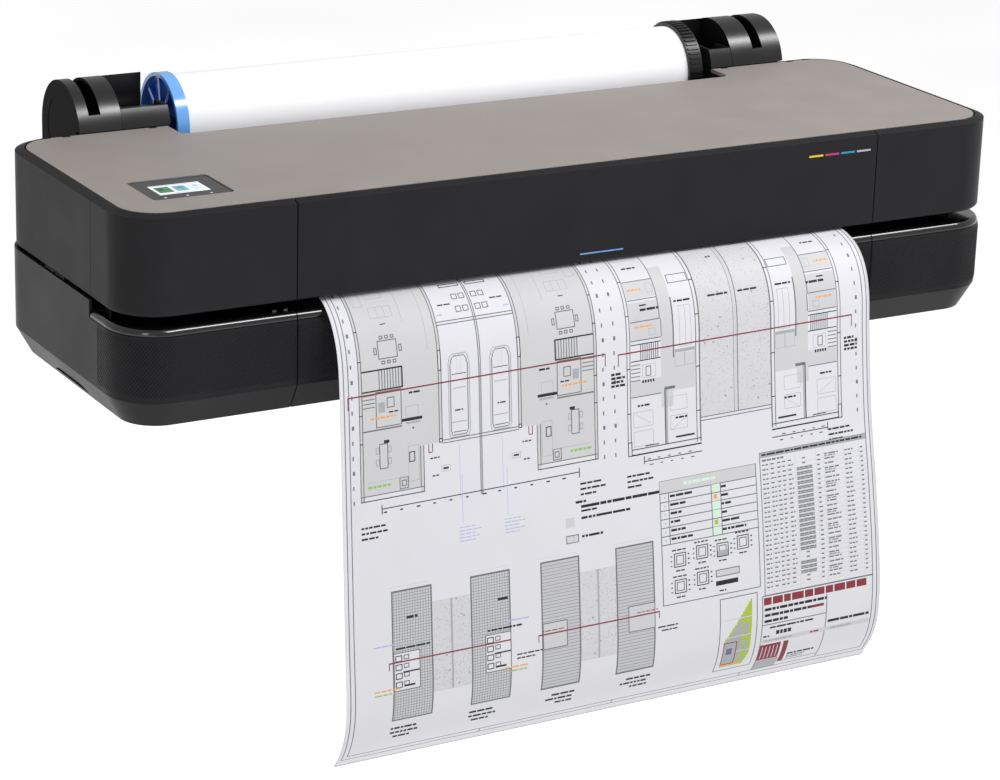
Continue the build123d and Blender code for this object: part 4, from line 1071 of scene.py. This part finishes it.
tabs = {"centres": (-351.0, -339.0), "half": 2.6, "y": (-214.0, -186.0), "rise": 3.2}
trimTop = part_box("slot_trim")[1].z
for index, tabX in enumerate(tabs["centres"]):
    tabOutline = boxOutline((tabX - tabs["half"]) * mm, (tabX + tabs["half"]) * mm, tabs["y"][0] * mm,
                            tabs["y"][1] * mm, 1.2 * mm)
    plate(f"slot_tab_{index + 1}", tabOutline, trimTop - 0.3 * mm, trimTop + tabs["rise"] * mm, plastics["trim"],
          "case", 0.8 * mm)
lightBar = {"x": (-15.0, 36.0), "z": 121.3, "half": 0.7, "proud": 0.25}
coverFront = -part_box("lid_front_cover")[0][1]
lightOutline = boxOutline(lightBar["x"][0] * mm, lightBar["x"][1] * mm, (lightBar["z"] - lightBar["half"]) * mm,
                          (lightBar["z"] + lightBar["half"]) * mm, 0.6 * mm)
lightPiece = plate("status_light", lightOutline, coverFront - 0.2 * mm, coverFront + lightBar["proud"] * mm,
                   plastics["window"], "lid")
lightPiece.data.transform(Matrix.Rotation(math.pi / 2, 4, "X"))
print("small pieces made")


# floor, lights, camera

def backdropPaper():
    # seamless studio paper: matte, and lit from behind a little so that it stays white at its far end
    material, tree, shader = newMaterial("pale paper backdrop", Specular_IOR_Level=0.1, Emission_Strength=0.5)
    coords = addNode(tree, "TexCoord", (), "Object")
    cloudy(tree, shader, "#f7f7f7", "#fbfbfb", 900, (0.88, 0.92), coords, 1.0)
    plug(tree, shader, Emission_Color=shader.inputs["Base Color"].links[0].from_socket)
    return material


stage = {"half": 16.0, "z": -0.95, "worldLight": 0.5}
half = stage["half"]
floorCorners = [(x * half, y * half, stage["z"]) for x, y in ((-1, -1), (1, -1), (1, 1), (-1, 1))]
floor = addPiece("studio_floor", floorCorners, [(0, 1, 2, 3)], backdropPaper(), None)

world = bpy.data.worlds.new("studio")
world.use_nodes = True
sky = world.node_tree.nodes["Background"]
sky.inputs["Color"].default_value = linear("#ffffff")
sky.inputs["Strength"].default_value = stage["worldLight"]
bpy.context.scene.world = world


def softBox(name, place, target, width, height, power):
    light = bpy.data.lights.new(name, "AREA")
    light.shape = "RECTANGLE"
    light.size = width
    light.size_y = height
    light.energy = power
    lamp = bpy.data.objects.new(name, light)
    bpy.context.scene.collection.objects.link(lamp)
    lamp.location = place
    lamp.rotation_euler = (Vector(target) - Vector(place)).to_track_quat("-Z", "Y").to_euler()


# place, aim, width, height in metres and power in watts
lights = {
    "key box": ((0.9, -1.6, 2.3), (0.0, 0.1, 0.15), 2.8, 0.8, 24),
    "top strip": ((0.8, -1.1, 1.9), (0.0, 0.1, 0.2), 2.6, 0.4, 40),
    "left fill": ((-2.2, -1.9, 0.9), (-0.4, 0.0, 0.1), 0.5, 1.2, 6),
}
for lightName, values in lights.items():
    softBox(lightName, *values)

view = {"place": (-1.68577, -2.98572, 1.06947), "yaw": 29.79, "down": 18.718, "roll": 1.75, "lens": 120.56}
yaw, down, roll = (math.radians(view[k]) for k in ("yaw", "down", "roll"))
forward = Vector((math.sin(yaw) * math.cos(down), math.cos(yaw) * math.cos(down), -math.sin(down)))
level = Vector((math.cos(yaw), -math.sin(yaw), 0))
upright = level.cross(forward)
right = math.cos(roll) * level + math.sin(roll) * upright
top = -math.sin(roll) * level + math.cos(roll) * upright
camera = bpy.data.objects.new("camera", bpy.data.cameras.new("camera"))
bpy.context.scene.collection.objects.link(camera)
turn = Matrix((right, top, -forward)).transposed().to_4x4()
camera.matrix_world = Matrix.Translation(view["place"]) @ turn
camera.data.lens = view["lens"]
camera.data.sensor_width = 36.0
camera.data.clip_end = 60.0
bpy.context.scene.camera = camera
bpy.context.scene.view_settings.view_transform = "Standard"
print("floor, lights and camera set")
